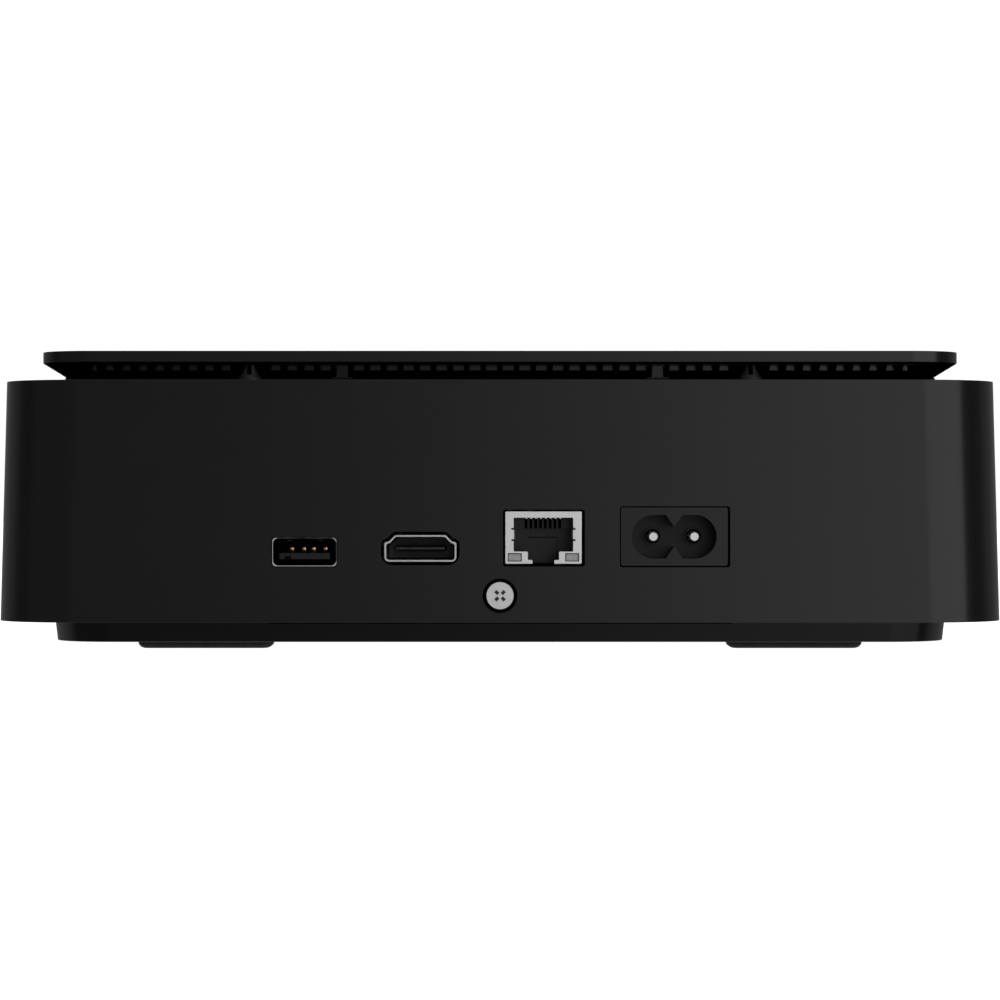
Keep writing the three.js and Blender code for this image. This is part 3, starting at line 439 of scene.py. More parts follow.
def frosted_lens(name):
    nodes = Nodes(name)
    nodes.mottle(0.8, 3, (0.42, 0.43, 0.43), (0.52, 0.53, 0.52))
    nodes.gloss(0.3, 2, 0.3, 0.42)
    nodes.set(IOR=1.5)
    nodes.bump(nodes.noise(0.12), 0.004)
    return nodes.material


def circuit_board(name):
    """Green solder mask with the raised tracks under it and vias."""
    nodes = Nodes(name)
    tracks = nodes.add("ShaderNodeTexBrick", Vector=nodes.place, Scale=1 / (3.2 * MM))
    tracks.inputs["Mortar Size"].default_value = 0.03
    vias = nodes.add("ShaderNodeTexVoronoi", Vector=nodes.place, Scale=1 / (2.4 * MM)).outputs["Distance"]
    via_mask = nodes.between(vias, 1, 0, 0.1, 0.16)
    base = nodes.tint(tracks.outputs["Fac"], (0.012, 0.062, 0.034), (0.02, 0.105, 0.056))
    nodes.link(nodes.tint(via_mask, base, (0.45, 0.4, 0.22)), "Base Color")
    nodes.gloss(0.9, 3, 0.3, 0.45)
    nodes.bump(tracks.outputs["Fac"], 0.03)
    return nodes.material


def wound_wire(name):
    """Enamelled wire laid in close turns."""
    nodes = Nodes(name)
    turns = nodes.add("ShaderNodeTexWave", Vector=nodes.place, Scale=1 / (2.2 * MM), Distortion=0.4)
    turns.bands_direction = "Z"
    nodes.link(nodes.tint(turns.outputs["Fac"], (0.2, 0.07, 0.02), (0.62, 0.3, 0.1)), "Base Color")
    nodes.gloss(0.7, 2, 0.25, 0.4)
    nodes.set(Metallic=0.7)
    nodes.bump(turns.outputs["Fac"], 0.15)
    return nodes.material


SHELL_PLASTIC = moulded_plastic("satin black shell", grey(0.0046), grey(0.0054), 0.2)
TRAY_PLASTIC = moulded_plastic("satin black tray", grey(0.0046), grey(0.0054), 0.2, specular=0.4)
LID_PLASTIC = moulded_plastic("satin black lid", grey(0.0044), grey(0.0052), 0.2)
# Near black that barely reflects: the vent ring's matt black, kept this dark partly as painted shade under
# the lid; also painted shade in the tray's seam and the inlet's wells.
VENT_AND_SHADE_BLACK = moulded_plastic("matt black vent and painted shade", grey(0.0004), grey(0.0006), 0.6,
                               grain_mm=0.5, specular=0.03)
RIB_PLASTIC = moulded_plastic("lid rib", grey(0.004), grey(0.005), 0.13, specular=0.5)
# Painted light: a much lighter black than the vent's, for the vent pillars.
LIT_PILLAR_PLASTIC = moulded_plastic("vent pillar, painted light", grey(0.015), grey(0.019), 0.5, specular=0.3)
INSERT_PLASTIC = moulded_plastic("black insert", grey(0.005), grey(0.006), 0.28, grain_mm=0.25)
# Painted shade: near black laid where a socket's inside falls into shade (the USB sleeve's liner, key notch
# and tongue root, the RJ45 block's backing); also the RJ45 latch seams.
SHADE_AND_SEAM_BLACK = moulded_plastic("painted shade and seam black", grey(0.0008), grey(0.0012), 0.6,
                              grain_mm=0.3, specular=0.08)
CHIP_PLASTIC = moulded_plastic("epoxy package", grey(0.012), grey(0.02), 0.5, grain_mm=0.15)
SLEEVE_PLASTIC = moulded_plastic("shrink sleeve", (0.012, 0.016, 0.03), (0.018, 0.022, 0.04), 0.25,
                                 grain_mm=1.5)
WIRE_PLASTIC = moulded_plastic("soft wire jacket", grey(0.01), grey(0.018), 0.5, grain_mm=0.4)
RUBBER = soft_rubber("foot rubber")
# Painted shade: the shell's plastic with less reflection, for the inlet's recess floor and the HDMI tongue.
RECESS_SHADE_PLASTIC = moulded_plastic("recess plastic, painted shade", grey(0.0045), grey(0.0055), 0.38, specular=0.42)
# Painted shade: a dark brownish metal for the USB sleeve's spring tabs.
SHADED_TAB_METAL = plated_metal("shaded tab", (0.2, 0.11, 0.07), (0.32, 0.18, 0.11), 0.35)
# Painted shade: dark metal for the plates inside the screw's pits.
PIT_SHADE_METAL = plated_metal("screw pit, painted shade", (0.05, 0.05, 0.05), (0.07, 0.07, 0.07), 0.4)
# Painted shade: darkened metal for the HDMI contacts.
SHADED_CONTACT_METAL = plated_metal("contact metal, painted shade", (0.1, 0.1, 0.1), (0.16, 0.16, 0.16), 0.4)
HDMI_STEEL = plated_metal("brushed nickel", (0.64, 0.64, 0.65), (0.72, 0.72, 0.73), 0.4)
SATIN_STEEL = plated_metal("satin nickel", (0.9, 0.9, 0.91), (0.95, 0.95, 0.96), 0.42)
# Bright nickel for the inlet pins; on the screw's rim it is a painted highlight.
PIN_AND_HIGHLIGHT_METAL = plated_metal("bright nickel, pins and painted highlight", (0.93, 0.93, 0.94), (0.97, 0.97, 0.98), 0.4)
STEEL = plated_metal("nickel plated steel", (0.86, 0.86, 0.87), (0.92, 0.92, 0.93), 0.3)
ZINC = plated_metal("zinc plated screw", (0.8, 0.8, 0.81), (0.88, 0.88, 0.89), 0.36, grain_stretch=(1, 1, 1))
COPPER_GOLD = plated_metal("gilt spring", (0.8, 0.45, 0.26), (0.95, 0.62, 0.42), 0.25)
PALE_GOLD = plated_metal("pale gilt spring", (0.92, 0.8, 0.54), (0.97, 0.87, 0.64), 0.35)
GOLD = plated_metal("gilt contact", (0.75, 0.5, 0.2), (0.9, 0.66, 0.3), 0.22)
ALUMINIUM = plated_metal("extruded aluminium", (0.5, 0.51, 0.52), (0.64, 0.65, 0.66), 0.35)
LENS = frosted_lens("milky light window")
BOARD = circuit_board("solder mask")
WINDING = wound_wire("enamelled winding")

CAD_FINISH = {
    "black_shell": SHELL_PLASTIC,
    "black_vent": VENT_AND_SHADE_BLACK,
    "black_insert": INSERT_PLASTIC,
    "rubber_foot": RUBBER,
    "plated_steel": STEEL,
    "zinc_screw": ZINC,
    "gilt_contact": GOLD,
    "light_lens": LENS,
    "circuit_board": BOARD,
    "chip_package": CHIP_PLASTIC,
    "heatsink_metal": ALUMINIUM,
    "winding": WINDING,
    "capacitor_sleeve": SLEEVE_PLASTIC,
    "wire_jacket": WIRE_PLASTIC,
}


def refinish_cad_nodes():
    """Every CAD node takes the material of its slot, and the ones that stay in view keep it."""
    for entry in frame["record"]["subparts"]:
        node = frame["nodes"][entry["node"]]
        material = CAD_FINISH[entry["material_slot"]]
        if not node.material_slots:
            node.data.materials.append(material)
        for place in node.material_slots:
            place.material = material


# ---------------------------------------------------------------- lid and vent

LID_RIB_HALF = 91.4
LID_RIB_CORNER = 5.0
LID_RIB_WALL = 1.5
LID_RIB_BOTTOM_Z = 57.6
LID_EDGE = 0.14

VENT_FOOT_HALF = 90.4
VENT_KINK_HALF = 92.7
VENT_KINK_Z = 57.75
VENT_RIM_HALF = 97.6
VENT_RIM_CORNER = 10.6
VENT_RIM_Z = LID_BOTTOM_Z - 0.05
VENT_WALL = 1.2
WINDOW_PITCH = 3.53
WINDOW_WIDTH = 2.37
WINDOW_SILL_Z = 59.12
WINDOW_TOP_Z = 60.45
WINDOWS_PER_HALF = 25
TALL_WINDOW = 9
TALL_SILL_Z = 57.75
TALL_WIDTH = 2.6
TALL_NOTCH_HALF = 2.3
NOTCH_DEPTH = 1.9
PILLAR_X = 52.9
PILLAR_INSET = 96.0
PILLAR_WINDOWS = (14, 15)
PILLAR_FOOT = 2.5
PILLAR_NECK = 0.95
PILLAR_FLARE = 1.8
PILLAR_BAND_Z = 57.6
PILLAR_STEPS = 12
PILLAR_SLOT_HALF = 0.5
PILLAR_SLOT_Z = 58.1
NOTCH_DROP = 0.1
NOTCH_LIP_Y = VENT_KINK_HALF - 0.15
NOTCH_LIP_NEAR = 0.12
NOTCH_LIP_FAR = 0.3
NOTCH_LIP_LOW = 0.22
NOTCH_LIP_HIGH = 0.08
VENT_FLANGE_HALF = 95.0
VENT_FLOOR = 2
PLENUM_CORNERS = (2.0, 4.0, 8.0)
FAN_HOLE_RADIUS = 43.5
SIDE_TURNS = (("rear", 0), ("right", 90), ("front", 180), ("left", 270))


def make_lid():
    edge_levels = rolled_levels(lambda z: LID_HALF, LID_CORNER, LID_BOTTOM_Z, LID_TOP_Z,
                                LID_EDGE / 2, LID_EDGE)
    lid = square_stack("lid_plate", edge_levels)
    rib_top = LID_BOTTOM_Z - TOUCH_GAP
    rib = square_block("lid_rib", LID_RIB_HALF, LID_RIB_CORNER, LID_RIB_BOTTOM_Z, rib_top)
    combine(rib, square_block("hollow", LID_RIB_HALF - LID_RIB_WALL, LID_RIB_CORNER - LID_RIB_WALL,
                              LID_RIB_BOTTOM_Z - CUT, rib_top + CUT))
    finish_piece(rib, RIB_PLASTIC)
    finish_piece(lid, LID_PLASTIC, replaces=["top_lid"])


def window_x(index, side):
    return side * (index + 0.5) * WINDOW_PITCH


def window_boxes():
    """Cutters for the windows of the rear and front runs; turned a quarter they serve the sides too."""
    reach = LID_HALF + CUT
    boxes = []
    for i in range(WINDOWS_PER_HALF):
        if i in PILLAR_WINDOWS:
            continue
        tall = i == TALL_WINDOW
        half = (TALL_WIDTH if tall else WINDOW_WIDTH) / 2
        sill = TALL_SILL_Z if tall else WINDOW_SILL_Z
        for side in (-1, 1):
            x = window_x(i, side)
            boxes.append(((x - half, -reach, sill), (x + half, reach, WINDOW_TOP_Z)))
    return boxes


def notch_boxes():
    """The wider, shallow notches in front of the tall windows."""
    boxes = []
    for side in (-1, 1):
        x = window_x(TALL_WINDOW, side)
        floor_y = VENT_RIM_HALF - NOTCH_DEPTH
        for low_y, high_y in ((-LID_HALF, -floor_y), (floor_y, LID_HALF)):
            boxes.append(((x - TALL_NOTCH_HALF, low_y, TALL_SILL_Z - NOTCH_DROP),
                          (x + TALL_NOTCH_HALF, high_y, WINDOW_TOP_Z)))
    return boxes


def make_pillar(name, x, degrees):
    """A trumpet-shaped pillar with a foot band and a slot down its face."""
    foot_z = BODY_TOP_Z + TOUCH_GAP
    foot = PILLAR_FOOT
    profile = [(0, foot_z), (foot, foot_z), (foot, PILLAR_BAND_Z - 0.15), (foot - 0.06, PILLAR_BAND_Z)]
    for i in range(PILLAR_STEPS + 1):
        rise = i / PILLAR_STEPS
        radius = PILLAR_NECK + (foot - 0.2 - PILLAR_NECK) * (1 - rise) ** PILLAR_FLARE
        profile.append((radius, PILLAR_BAND_Z + (VENT_RIM_Z - PILLAR_BAND_Z) * rise))
    profile.append((0, VENT_RIM_Z))
    pillar = lathe("vent_pillar_" + name, profile, centre=(x, -PILLAR_INSET, 0), sides=40)
    slot = box_object("slot", (x - PILLAR_SLOT_HALF, -PILLAR_INSET - foot, PILLAR_SLOT_Z),
                      (x + PILLAR_SLOT_HALF, -PILLAR_INSET + foot, VENT_RIM_Z + CUT))
    turn_z(combine(pillar, slot), degrees)
    # Painted light: the pillar takes a much lighter black than the vent it stands in, so its up-facing flare
    # reads as lit.
    finish_piece(pillar, LIT_PILLAR_PLASTIC, angle=40)


def make_notch_sills():
    """Thin bright lips along the bottoms of the tall windows' notches."""
    lips = []
    for _, degrees in SIDE_TURNS:
        for side in (-1, 1):
            x = window_x(TALL_WINDOW, side)
            low = (x - TALL_NOTCH_HALF, -NOTCH_LIP_Y - NOTCH_LIP_NEAR, TALL_SILL_Z - NOTCH_LIP_LOW)
            high = (x + TALL_NOTCH_HALF, -NOTCH_LIP_Y + NOTCH_LIP_FAR, TALL_SILL_Z - NOTCH_LIP_HIGH)
            lip = box_object("lip", low, high)
            lips.append(turn_z(lip, degrees))
    finish_piece(join_objects("vent_notch_sills", lips), SHELL_PLASTIC)


def make_vent():
    bottom_z = span("vent_frame")[0].z
    under_deck = BODY_TOP_Z - BODY_WALL - GAP

    def level(half, z):
        return half, VENT_RIM_CORNER - (VENT_RIM_HALF - half), z

    vent = square_stack("vent_ring", [
        level(VENT_FLANGE_HALF, bottom_z), level(VENT_FLANGE_HALF, under_deck),
        level(VENT_FOOT_HALF, under_deck), level(VENT_FOOT_HALF, BODY_TOP_Z),
        level(VENT_KINK_HALF, VENT_KINK_Z), level(VENT_RIM_HALF, VENT_RIM_Z)])
    low_corner, middle_corner, high_corner = PLENUM_CORNERS
    inside = VENT_FOOT_HALF - VENT_WALL
    rim_inside = VENT_RIM_HALF - VENT_WALL
    combine(vent, square_stack("plenum", [
        (inside, low_corner, bottom_z + VENT_FLOOR), (inside, low_corner, BODY_TOP_Z),
        (VENT_KINK_HALF - VENT_WALL, middle_corner, VENT_KINK_Z),
        (rim_inside, high_corner, VENT_RIM_Z), (rim_inside, high_corner, VENT_RIM_Z + CUT)]))
    fan_hole = rod(FAN_HOLE_RADIUS, bottom_z - CUT, bottom_z + 2 * VENT_FLOOR)
    combine(vent, lathe("fan_hole", fan_hole, sides=96))
    for degrees in (0, 90):
        combine(vent, turn_z(boxes_object("windows", window_boxes()), degrees))
        combine(vent, turn_z(boxes_object("notches", notch_boxes()), degrees))
    make_notch_sills()
    for side, degrees in SIDE_TURNS:
        for number, x in enumerate((-PILLAR_X, PILLAR_X), start=1):
            make_pillar(f"{side}_{number}", x, degrees)
    # The ring's near-black plastic is partly painted shade under the lid.
    return finish_piece(vent, VENT_AND_SHADE_BLACK, replaces=["vent_frame"], angle=30)


# ---------------------------------------------------------------- shell and tray

USB = mouth("usb_shell")
HDMI = mouth("hdmi_shell") + Vector((0.07, 0, 0.05))
RJ45 = mouth("rj45_shell")
INLET = mouth("power_inlet")
SCREW = mouth("rear_screw")
BUTTON_LOW, BUTTON_HIGH = span("power_button")
BUTTON_CENTRE = (BUTTON_LOW + BUTTON_HIGH) / 2
LIGHT_LOW, LIGHT_HIGH = span("light_pipe")
LIGHT_CENTRE = (LIGHT_LOW + LIGHT_HIGH) / 2

USB_HALF = Vector((6.68, 2.95))
HDMI_HALF = Vector((7.53, 2.8))
RJ45_HALF = Vector((8.0, 5.5))
INLET_HALF = Vector((11.2, 6.1))
SCREW_RECESS_RADIUS = 3.62
SCREW_RECESS_DEPTH = 1.7
BUTTON_HOLE_RADIUS = 5.0
LIGHT_HOLE_RADIUS = 1.4
DECK_CORNER = 4.0
SCREW_SEAT_RADIUS = 2.94
PILOT_RADIUS = 1.8
HOLE_REACH = 8


def wall_prism(outline):
    """A cutter through the rear wall with the given outline."""
    return prism("opening", outline, -BODY_BOTTOM_HALF - CUT, -BODY_TOP_HALF + BODY_WALL + CUT)


def wall_cutter(centre, half, clearance, corner):
    """A cutter through the rear wall around a socket."""
    half_x, half_z = half.x + clearance, half.y + clearance
    return wall_prism(rounded_outline(half_x, half_z, corner, centre=(centre.x, centre.z)))


def hdmi_outline(inset, bottom_corner=1.0, ear=1.0, steps=5):
    """Narrow side up, with rounded shoulders that slope down to small ears, and rounded lower corners."""
    half_x = HDMI_HALF.x - inset
    half_z = HDMI_HALF.y - inset
    shift = inset * math.tan(math.pi / 8)
    top_half = 5.2 - shift
    shoulder_z = HDMI_HALF.y - 1.5 - inset
    corner = max(bottom_corner - inset, 0.12)
    outline = []
    for quarter, centre_x in ((2, -half_x + corner), (3, half_x - corner)):
        for step in range(steps + 1):
            angle = (quarter + step / steps) * QUARTER
            outline.append((centre_x + corner * math.cos(angle), -half_z + corner + corner * math.sin(angle)))
    right = [(half_x, shoulder_z - 0.3 * ear), (half_x - 0.1 * ear, shoulder_z - 0.08 * ear),
             (half_x - 0.3 * ear, shoulder_z + 0.02), (top_half + 1.62, shoulder_z + 0.12),
             (top_half + 1.25, shoulder_z + 0.28), (top_half + 0.28, half_z - 0.22),
             (top_half + 0.08, half_z - 0.06), (top_half - 0.2, half_z)]
    return outline + right + [(-x, z) for x, z in reversed(right)]


def make_shell():
    levels = rolled_levels(body_half, BODY_CORNER, BODY_BOTTOM_Z, BODY_TOP_Z, BODY_LOW_EDGE, BODY_HIGH_EDGE)
    shell = square_stack("shell_moulding", levels, steps=32)
    inner_corner = BODY_CORNER - BODY_WALL
    hollow = square_stack("hollow", [
        (BODY_BOTTOM_HALF - BODY_WALL, inner_corner, BODY_BOTTOM_Z - CUT),
        (BODY_BOTTOM_HALF - BODY_WALL, inner_corner, BODY_BOTTOM_Z),
        (BODY_TOP_HALF - BODY_WALL, inner_corner, BODY_TOP_Z - BODY_WALL)], steps=32)
    combine(shell, hollow)
    deck_half = VENT_FOOT_HALF + GAP
    deck_low_z = BODY_TOP_Z - BODY_WALL - CUT
    combine(shell, square_block("deck", deck_half, DECK_CORNER, deck_low_z, BODY_TOP_Z + CUT))
    cutters = [
        wall_cutter(USB, USB_HALF, 0.22, 0.95),
        wall_prism([(x + HDMI.x, z + HDMI.z) for x, z in hdmi_outline(-0.68, 1.7, 3.0)]),
        wall_cutter(RJ45 + Vector((0.1, 0, -0.07)), RJ45_HALF + Vector((0.1, 0)), 0.44, 0.5),
        wall_cutter(INLET + Vector((0.14, 0, 0)), INLET_HALF + Vector((0.04, 0)), 0.27, 0.6),
    ]
    recess_floor = SCREW_LOW.y + SCREW_RECESS_DEPTH
    outside = -BODY_BOTTOM_HALF - CUT
    wall_y = -body_half(SCREW.z)
    cutters.append(turned_y("recess", [
        (0, outside), (SCREW_RECESS_RADIUS, outside), (SCREW_RECESS_RADIUS, wall_y),
        (SCREW_RECESS_RADIUS - 0.32, wall_y + BODY_WALL - 0.15), (SCREW_SEAT_RADIUS, recess_floor),
        (PILOT_RADIUS, recess_floor), (PILOT_RADIUS, outside + HOLE_REACH),
        (0, outside + HOLE_REACH)], SCREW))
    front = BODY_BOTTOM_HALF + CUT
    for centre, radius in ((BUTTON_CENTRE, BUTTON_HOLE_RADIUS), (LIGHT_CENTRE, LIGHT_HOLE_RADIUS)):
        cutters.append(turned_y("front_hole", rod(radius, front - HOLE_REACH, front), centre))
    combine(shell, join_objects("cutters", cutters))
    return finish_piece(shell, SHELL_PLASTIC, replaces=["body_shell"], angle=30)


TRAY_LOW, TRAY_HIGH = span("base_tray")
PLINTH_TOP_HALF = 95.75
PLINTH_HALF = 95.2
PLINTH_CORNER = 13.0
PLINTH_EDGE = 0.2
PLINTH_WALL = 2.0
PLATE_HALF = TRAY_HIGH.x
PLATE_CORNER = 14.2
FOOT_CORNER = 2.4
FOOT_ROLL = 1.35
FOOT_END_ROLL = 1.15
FOOT_SIDE_ROLL = 0.75
FOOT_NAMES = ("foot_rear_left", "foot_rear_right", "foot_front_left", "foot_front_right")
INTAKE_COLUMNS = 10
INTAKE_PITCH = 7.0
INTAKE_WIDTH = 3.0
INTAKE_LENGTH = 34.0
INTAKE_ROW_Y = 24.0
INTAKE_CORNER = 1.45
PLATE_THICKNESS = 2
WELL_CORNER = 8.0
POCKET_DEPTH = 0.8
SEAM_HALF = 49.2
SEAM_DROP = 0.65
SEAM_DEPTH = 1
SEAM_SHADE_GAP = 0.1
BOSS_HALF = 3.6


def make_tray():
    bottom_z = TRAY_LOW.z
    plate_z = BODY_BOTTOM_Z + GAP
    levels = []
    steps = 7
    for i in range(steps + 1):
        angle = QUARTER * i / steps
        inset = PLINTH_EDGE * (1 - math.sin(angle))
        z = bottom_z + PLINTH_EDGE * (1 - math.cos(angle))
        levels.append((PLINTH_HALF - inset, PLINTH_CORNER - inset, z))
    levels.append((PLINTH_TOP_HALF, PLINTH_CORNER, plate_z + 0.5))
    tray = square_stack("tray_moulding", levels)
    plate = square_block("plate", PLATE_HALF, PLATE_CORNER, plate_z, plate_z + PLATE_THICKNESS)
    combine(tray, plate, "UNION")
    combine(tray, square_block("well", PLINTH_HALF - PLINTH_WALL, WELL_CORNER, bottom_z + PLINTH_WALL,
                               plate_z + PLATE_THICKNESS + CUT))
    cuts = []
    for row in (-INTAKE_ROW_Y, INTAKE_ROW_Y):
        for column in range(INTAKE_COLUMNS):
            x = row_x(column, INTAKE_COLUMNS, INTAKE_PITCH)
            outline = ring_points(INTAKE_WIDTH / 2, INTAKE_LENGTH / 2, INTAKE_CORNER, bottom_z - CUT,
                                  (x, row), 6)
            upper = [(px, py, bottom_z + PLINTH_WALL + CUT) for px, py, _ in outline]
            cuts.append(skin_rings("intake", [outline, upper]))
    for name in FOOT_NAMES:
        low, high = span(name)
        centre = ((low.x + high.x) / 2, (low.y + high.y) / 2)
        half = (high - low) / 2 + Vector((GAP, GAP, 0))
        rings = [ring_points(half.x, half.y, FOOT_CORNER + GAP, z, centre)
                 for z in (bottom_z - CUT, bottom_z + POCKET_DEPTH)]
        cuts.append(skin_rings("pocket", rings))
    cuts.append(box_object("seam", (-SEAM_HALF, -PLINTH_TOP_HALF - CUT, BODY_BOTTOM_Z - SEAM_DROP),
                           (SEAM_HALF, -PLINTH_TOP_HALF + SEAM_DEPTH, plate_z)))
    combine(tray, join_objects("cuts", cuts))
    boss = box_object("boss", (-BOSS_HALF, -PLATE_HALF + GAP, plate_z + 1),
                      (BOSS_HALF, -PLATE_HALF + HOLE_REACH, SCREW.z + BOSS_HALF))
    pilot = rod(PILOT_RADIUS, -PLATE_HALF - CUT, -PLATE_HALF + HOLE_REACH + CUT)
    combine(tray, combine(boss, turned_y("pilot", pilot, SCREW)), "UNION")
    shade_half = SEAM_HALF - SEAM_SHADE_GAP
    # Painted shade: a near-black strip fills the back of the seam under the shell.
    shade = box_object("base_seam_shade", (-shade_half, -PLINTH_TOP_HALF + 0.6, BODY_BOTTOM_Z - 0.6),
                       (shade_half, -PLINTH_TOP_HALF + SEAM_DEPTH - TOUCH_GAP, plate_z - TOUCH_GAP))
    finish_piece(shade, VENT_AND_SHADE_BLACK)
    return finish_piece(tray, TRAY_PLASTIC, replaces=["base_tray"], angle=30)


def make_foot(node):
    """A rubber strip with rolled edges and a shallow hollow in its sole."""
    low, high = span(node)
    centre = ((low.x + high.x) / 2, (low.y + high.y) / 2)
    half = (high - low) / 2
    levels = [(FOOT_ROLL + 1.3, 0.12), (FOOT_ROLL + 1.1, 0.0)]
    steps = 8
    for i in range(steps + 1):
        angle = QUARTER * i / steps
        levels.append((FOOT_ROLL * (1 - math.sin(angle)), FOOT_ROLL * (1 - math.cos(angle))))
    levels.append((0, high.z))
    rings = []
    for inset, z in levels:
        corner = max(FOOT_CORNER - inset, 0.3)
        half_x, half_y = half.x - FOOT_END_ROLL * inset, half.y - FOOT_SIDE_ROLL * inset
        rings.append(ring_points(half_x, half_y, corner, z, centre, 10))
    foot = skin_rings(node + "_pad", rings)
    return finish_piece(foot, RUBBER, replaces=[node], angle=50)


refinish_cad_nodes()
make_lid()
make_vent()
make_shell()
make_tray()
for foot_name in FOOT_NAMES:
    make_foot(foot_name)


# ---------------------------------------------------------------- USB-A socket

USB_WALL = 0.34
USB_DEPTH = 14.0
USB_CORNER = 0.75
USB_BEVEL = 0.6
USB_LIP = 0.065
USB_LIP_SHIFT = 0.05
USB_MOUTH_CORNER = 1.15
USB_THROAT_CORNER = 0.4
USB_LINER_DEPTH = 9.4
USB_TAB_X = 3.3
USB_CONTACT_X = (-2.81, -0.28, 1.74, 4.24)
TONGUE_TOP = -0.2
TONGUE_BOTTOM = -1.55
TONGUE_HALF = 5.3
TONGUE_FRONT = 1.4


def make_usb_sleeve():
    """A folded sleeve whose straight lips slope steeply inwards, with flat lands left at the corners."""
    def outline(inset, corner, shift=0.0):
        return rounded_outline(USB_HALF.x - inset, USB_HALF.y - inset, corner, 8, (shift, shift))

    shell = loft_outlines("usb_sleeve", [(outline(0, USB_CORNER), y) for y in (0.0, USB_DEPTH)])
    inner_layers = [(outline(USB_LIP, USB_MOUTH_CORNER, USB_LIP_SHIFT), y) for y in (-CUT, 0.0)]
    inner_layers += [(outline(USB_WALL, USB_THROAT_CORNER), y) for y in (USB_BEVEL, USB_DEPTH + CUT)]
    combine(shell, loft_outlines("inner", inner_layers))
    windows = []
    for x in (-USB_TAB_X, USB_TAB_X):
        windows.append(((x - 1.2, 2.0, USB_HALF.y - 0.6), (x + 1.2, 9.0, USB_HALF.y + 0.4)))
    combine(shell, boxes_object("tab_windows", windows))
    move(shell, USB)
    finish_piece(shell, STEEL, replaces=["usb_shell"], angle=20)
    # Painted shade: a near-black liner covers the sleeve's sloping lips and throat, standing in for the dark
    # inside of the socket.
    liner_layers = []
    for gap in (0.02, 0.08):
        lip = outline(USB_LIP + gap, USB_MOUTH_CORNER - gap, USB_LIP_SHIFT)
        throat = outline(USB_WALL + gap, USB_THROAT_CORNER - gap)
        liner_layers.append([(lip, 0.03), (throat, USB_BEVEL), (throat, USB_LINER_DEPTH)])
    liner = loft_outlines("usb_liner", liner_layers[0])
    lip, throat = liner_layers[1][0][0], liner_layers[1][1][0]
    combine(liner, loft_outlines("inside", [(lip, -CUT), *liner_layers[1], (throat, USB_LINER_DEPTH + CUT)]))
    move(liner, USB)
    finish_piece(liner, SHADE_AND_SEAM_BLACK)


def make_usb_tabs():
    """Spring tabs that bend down into the cavity from windows in the sleeve's top."""
    top = USB_HALF.y
    path = [(8.95, top - 0.16), (6.5, top - 0.35), (4.2, top - 0.75), (3.2, top - 0.7), (2.6, top - 0.45)]
    for side, x in (("left", -USB_TAB_X), ("right", USB_TAB_X)):
        tab = spring_strip("usb_tab_" + side, x, 0.9, 0.2, path)
        move(tab, USB)
        # Painted shade: the tabs take a dark brownish metal, not the sleeve's steel.
        finish_piece(tab, SHADED_TAB_METAL)


def make_usb_tongue():
    layers = []
    half_z = (TONGUE_TOP - TONGUE_BOTTOM) / 2
    centre = (0, (TONGUE_TOP + TONGUE_BOTTOM) / 2)
    for inset, y in ((0.05, 0.0), (0.0, 0.08), (0.0, 8.2)):
        outline = rounded_outline(TONGUE_HALF - inset, half_z - inset, 0.1, 3, centre)
        layers.append((outline, TONGUE_FRONT + y))
    tongue = loft_outlines("usb_tongue_moulding", layers)
    grooves = []
    for x in USB_CONTACT_X:
        grooves.append(((x - 0.65, TONGUE_FRONT + 0.9, TONGUE_TOP - 0.25), (x + 0.65, 9.5, TONGUE_TOP + 0.2)))
    combine(tongue, boxes_object("grooves", grooves))
    notch_low = (-4.15, TONGUE_FRONT - CUT, TONGUE_BOTTOM - CUT)
    notch_high = (-2.85, TONGUE_FRONT + 5, TONGUE_BOTTOM + 0.68)
    combine(tongue, box_object("key_notch", notch_low, notch_high))
    move(tongue, USB)
    finish_piece(tongue, INSERT_PLASTIC, replaces=["usb_tongue"])
    shade = box_object("usb_key_shade", (-4.14, TONGUE_FRONT + 0.35, TONGUE_BOTTOM + 0.01),
                       (-2.86, TONGUE_FRONT + 4.9, TONGUE_BOTTOM + 0.67))
    move(shade, USB)
    finish_piece(shade, SHADE_AND_SEAM_BLACK)
    # Painted shade: the tongue's root is a near-black copy of the insert plastic, for the socket's dark back.
    root = box_object("usb_tongue_root", (-USB_HALF.x + 0.65, 9.6, -USB_HALF.y + 0.65),
                      (USB_HALF.x - 0.65, USB_DEPTH - GAP, USB_HALF.y - 0.65))
    soften(root, 0.1, 1)
    move(root, USB)
    finish_piece(root, SHADE_AND_SEAM_BLACK)


def make_usb_contacts():
    """Four leaf springs whose bulges stand up steeply over the tongue."""
    top = TONGUE_TOP
    path = [(9.2, top + 0.05), (7.4, top + 0.3), (6.0, top + 1.2), (5.0, top + 1.55), (4.3, top + 1.45),
            (4.0, top + 0.95), (4.15, top + 0.35)]
    strips = [spring_strip("contact", x, 0.76, 0.14, path, crown=0.12) for x in USB_CONTACT_X]
    contacts = join_objects("usb_contact_springs", strips)
    move(contacts, USB)
    finish_piece(contacts, COPPER_GOLD, replaces=["usb_contacts"])


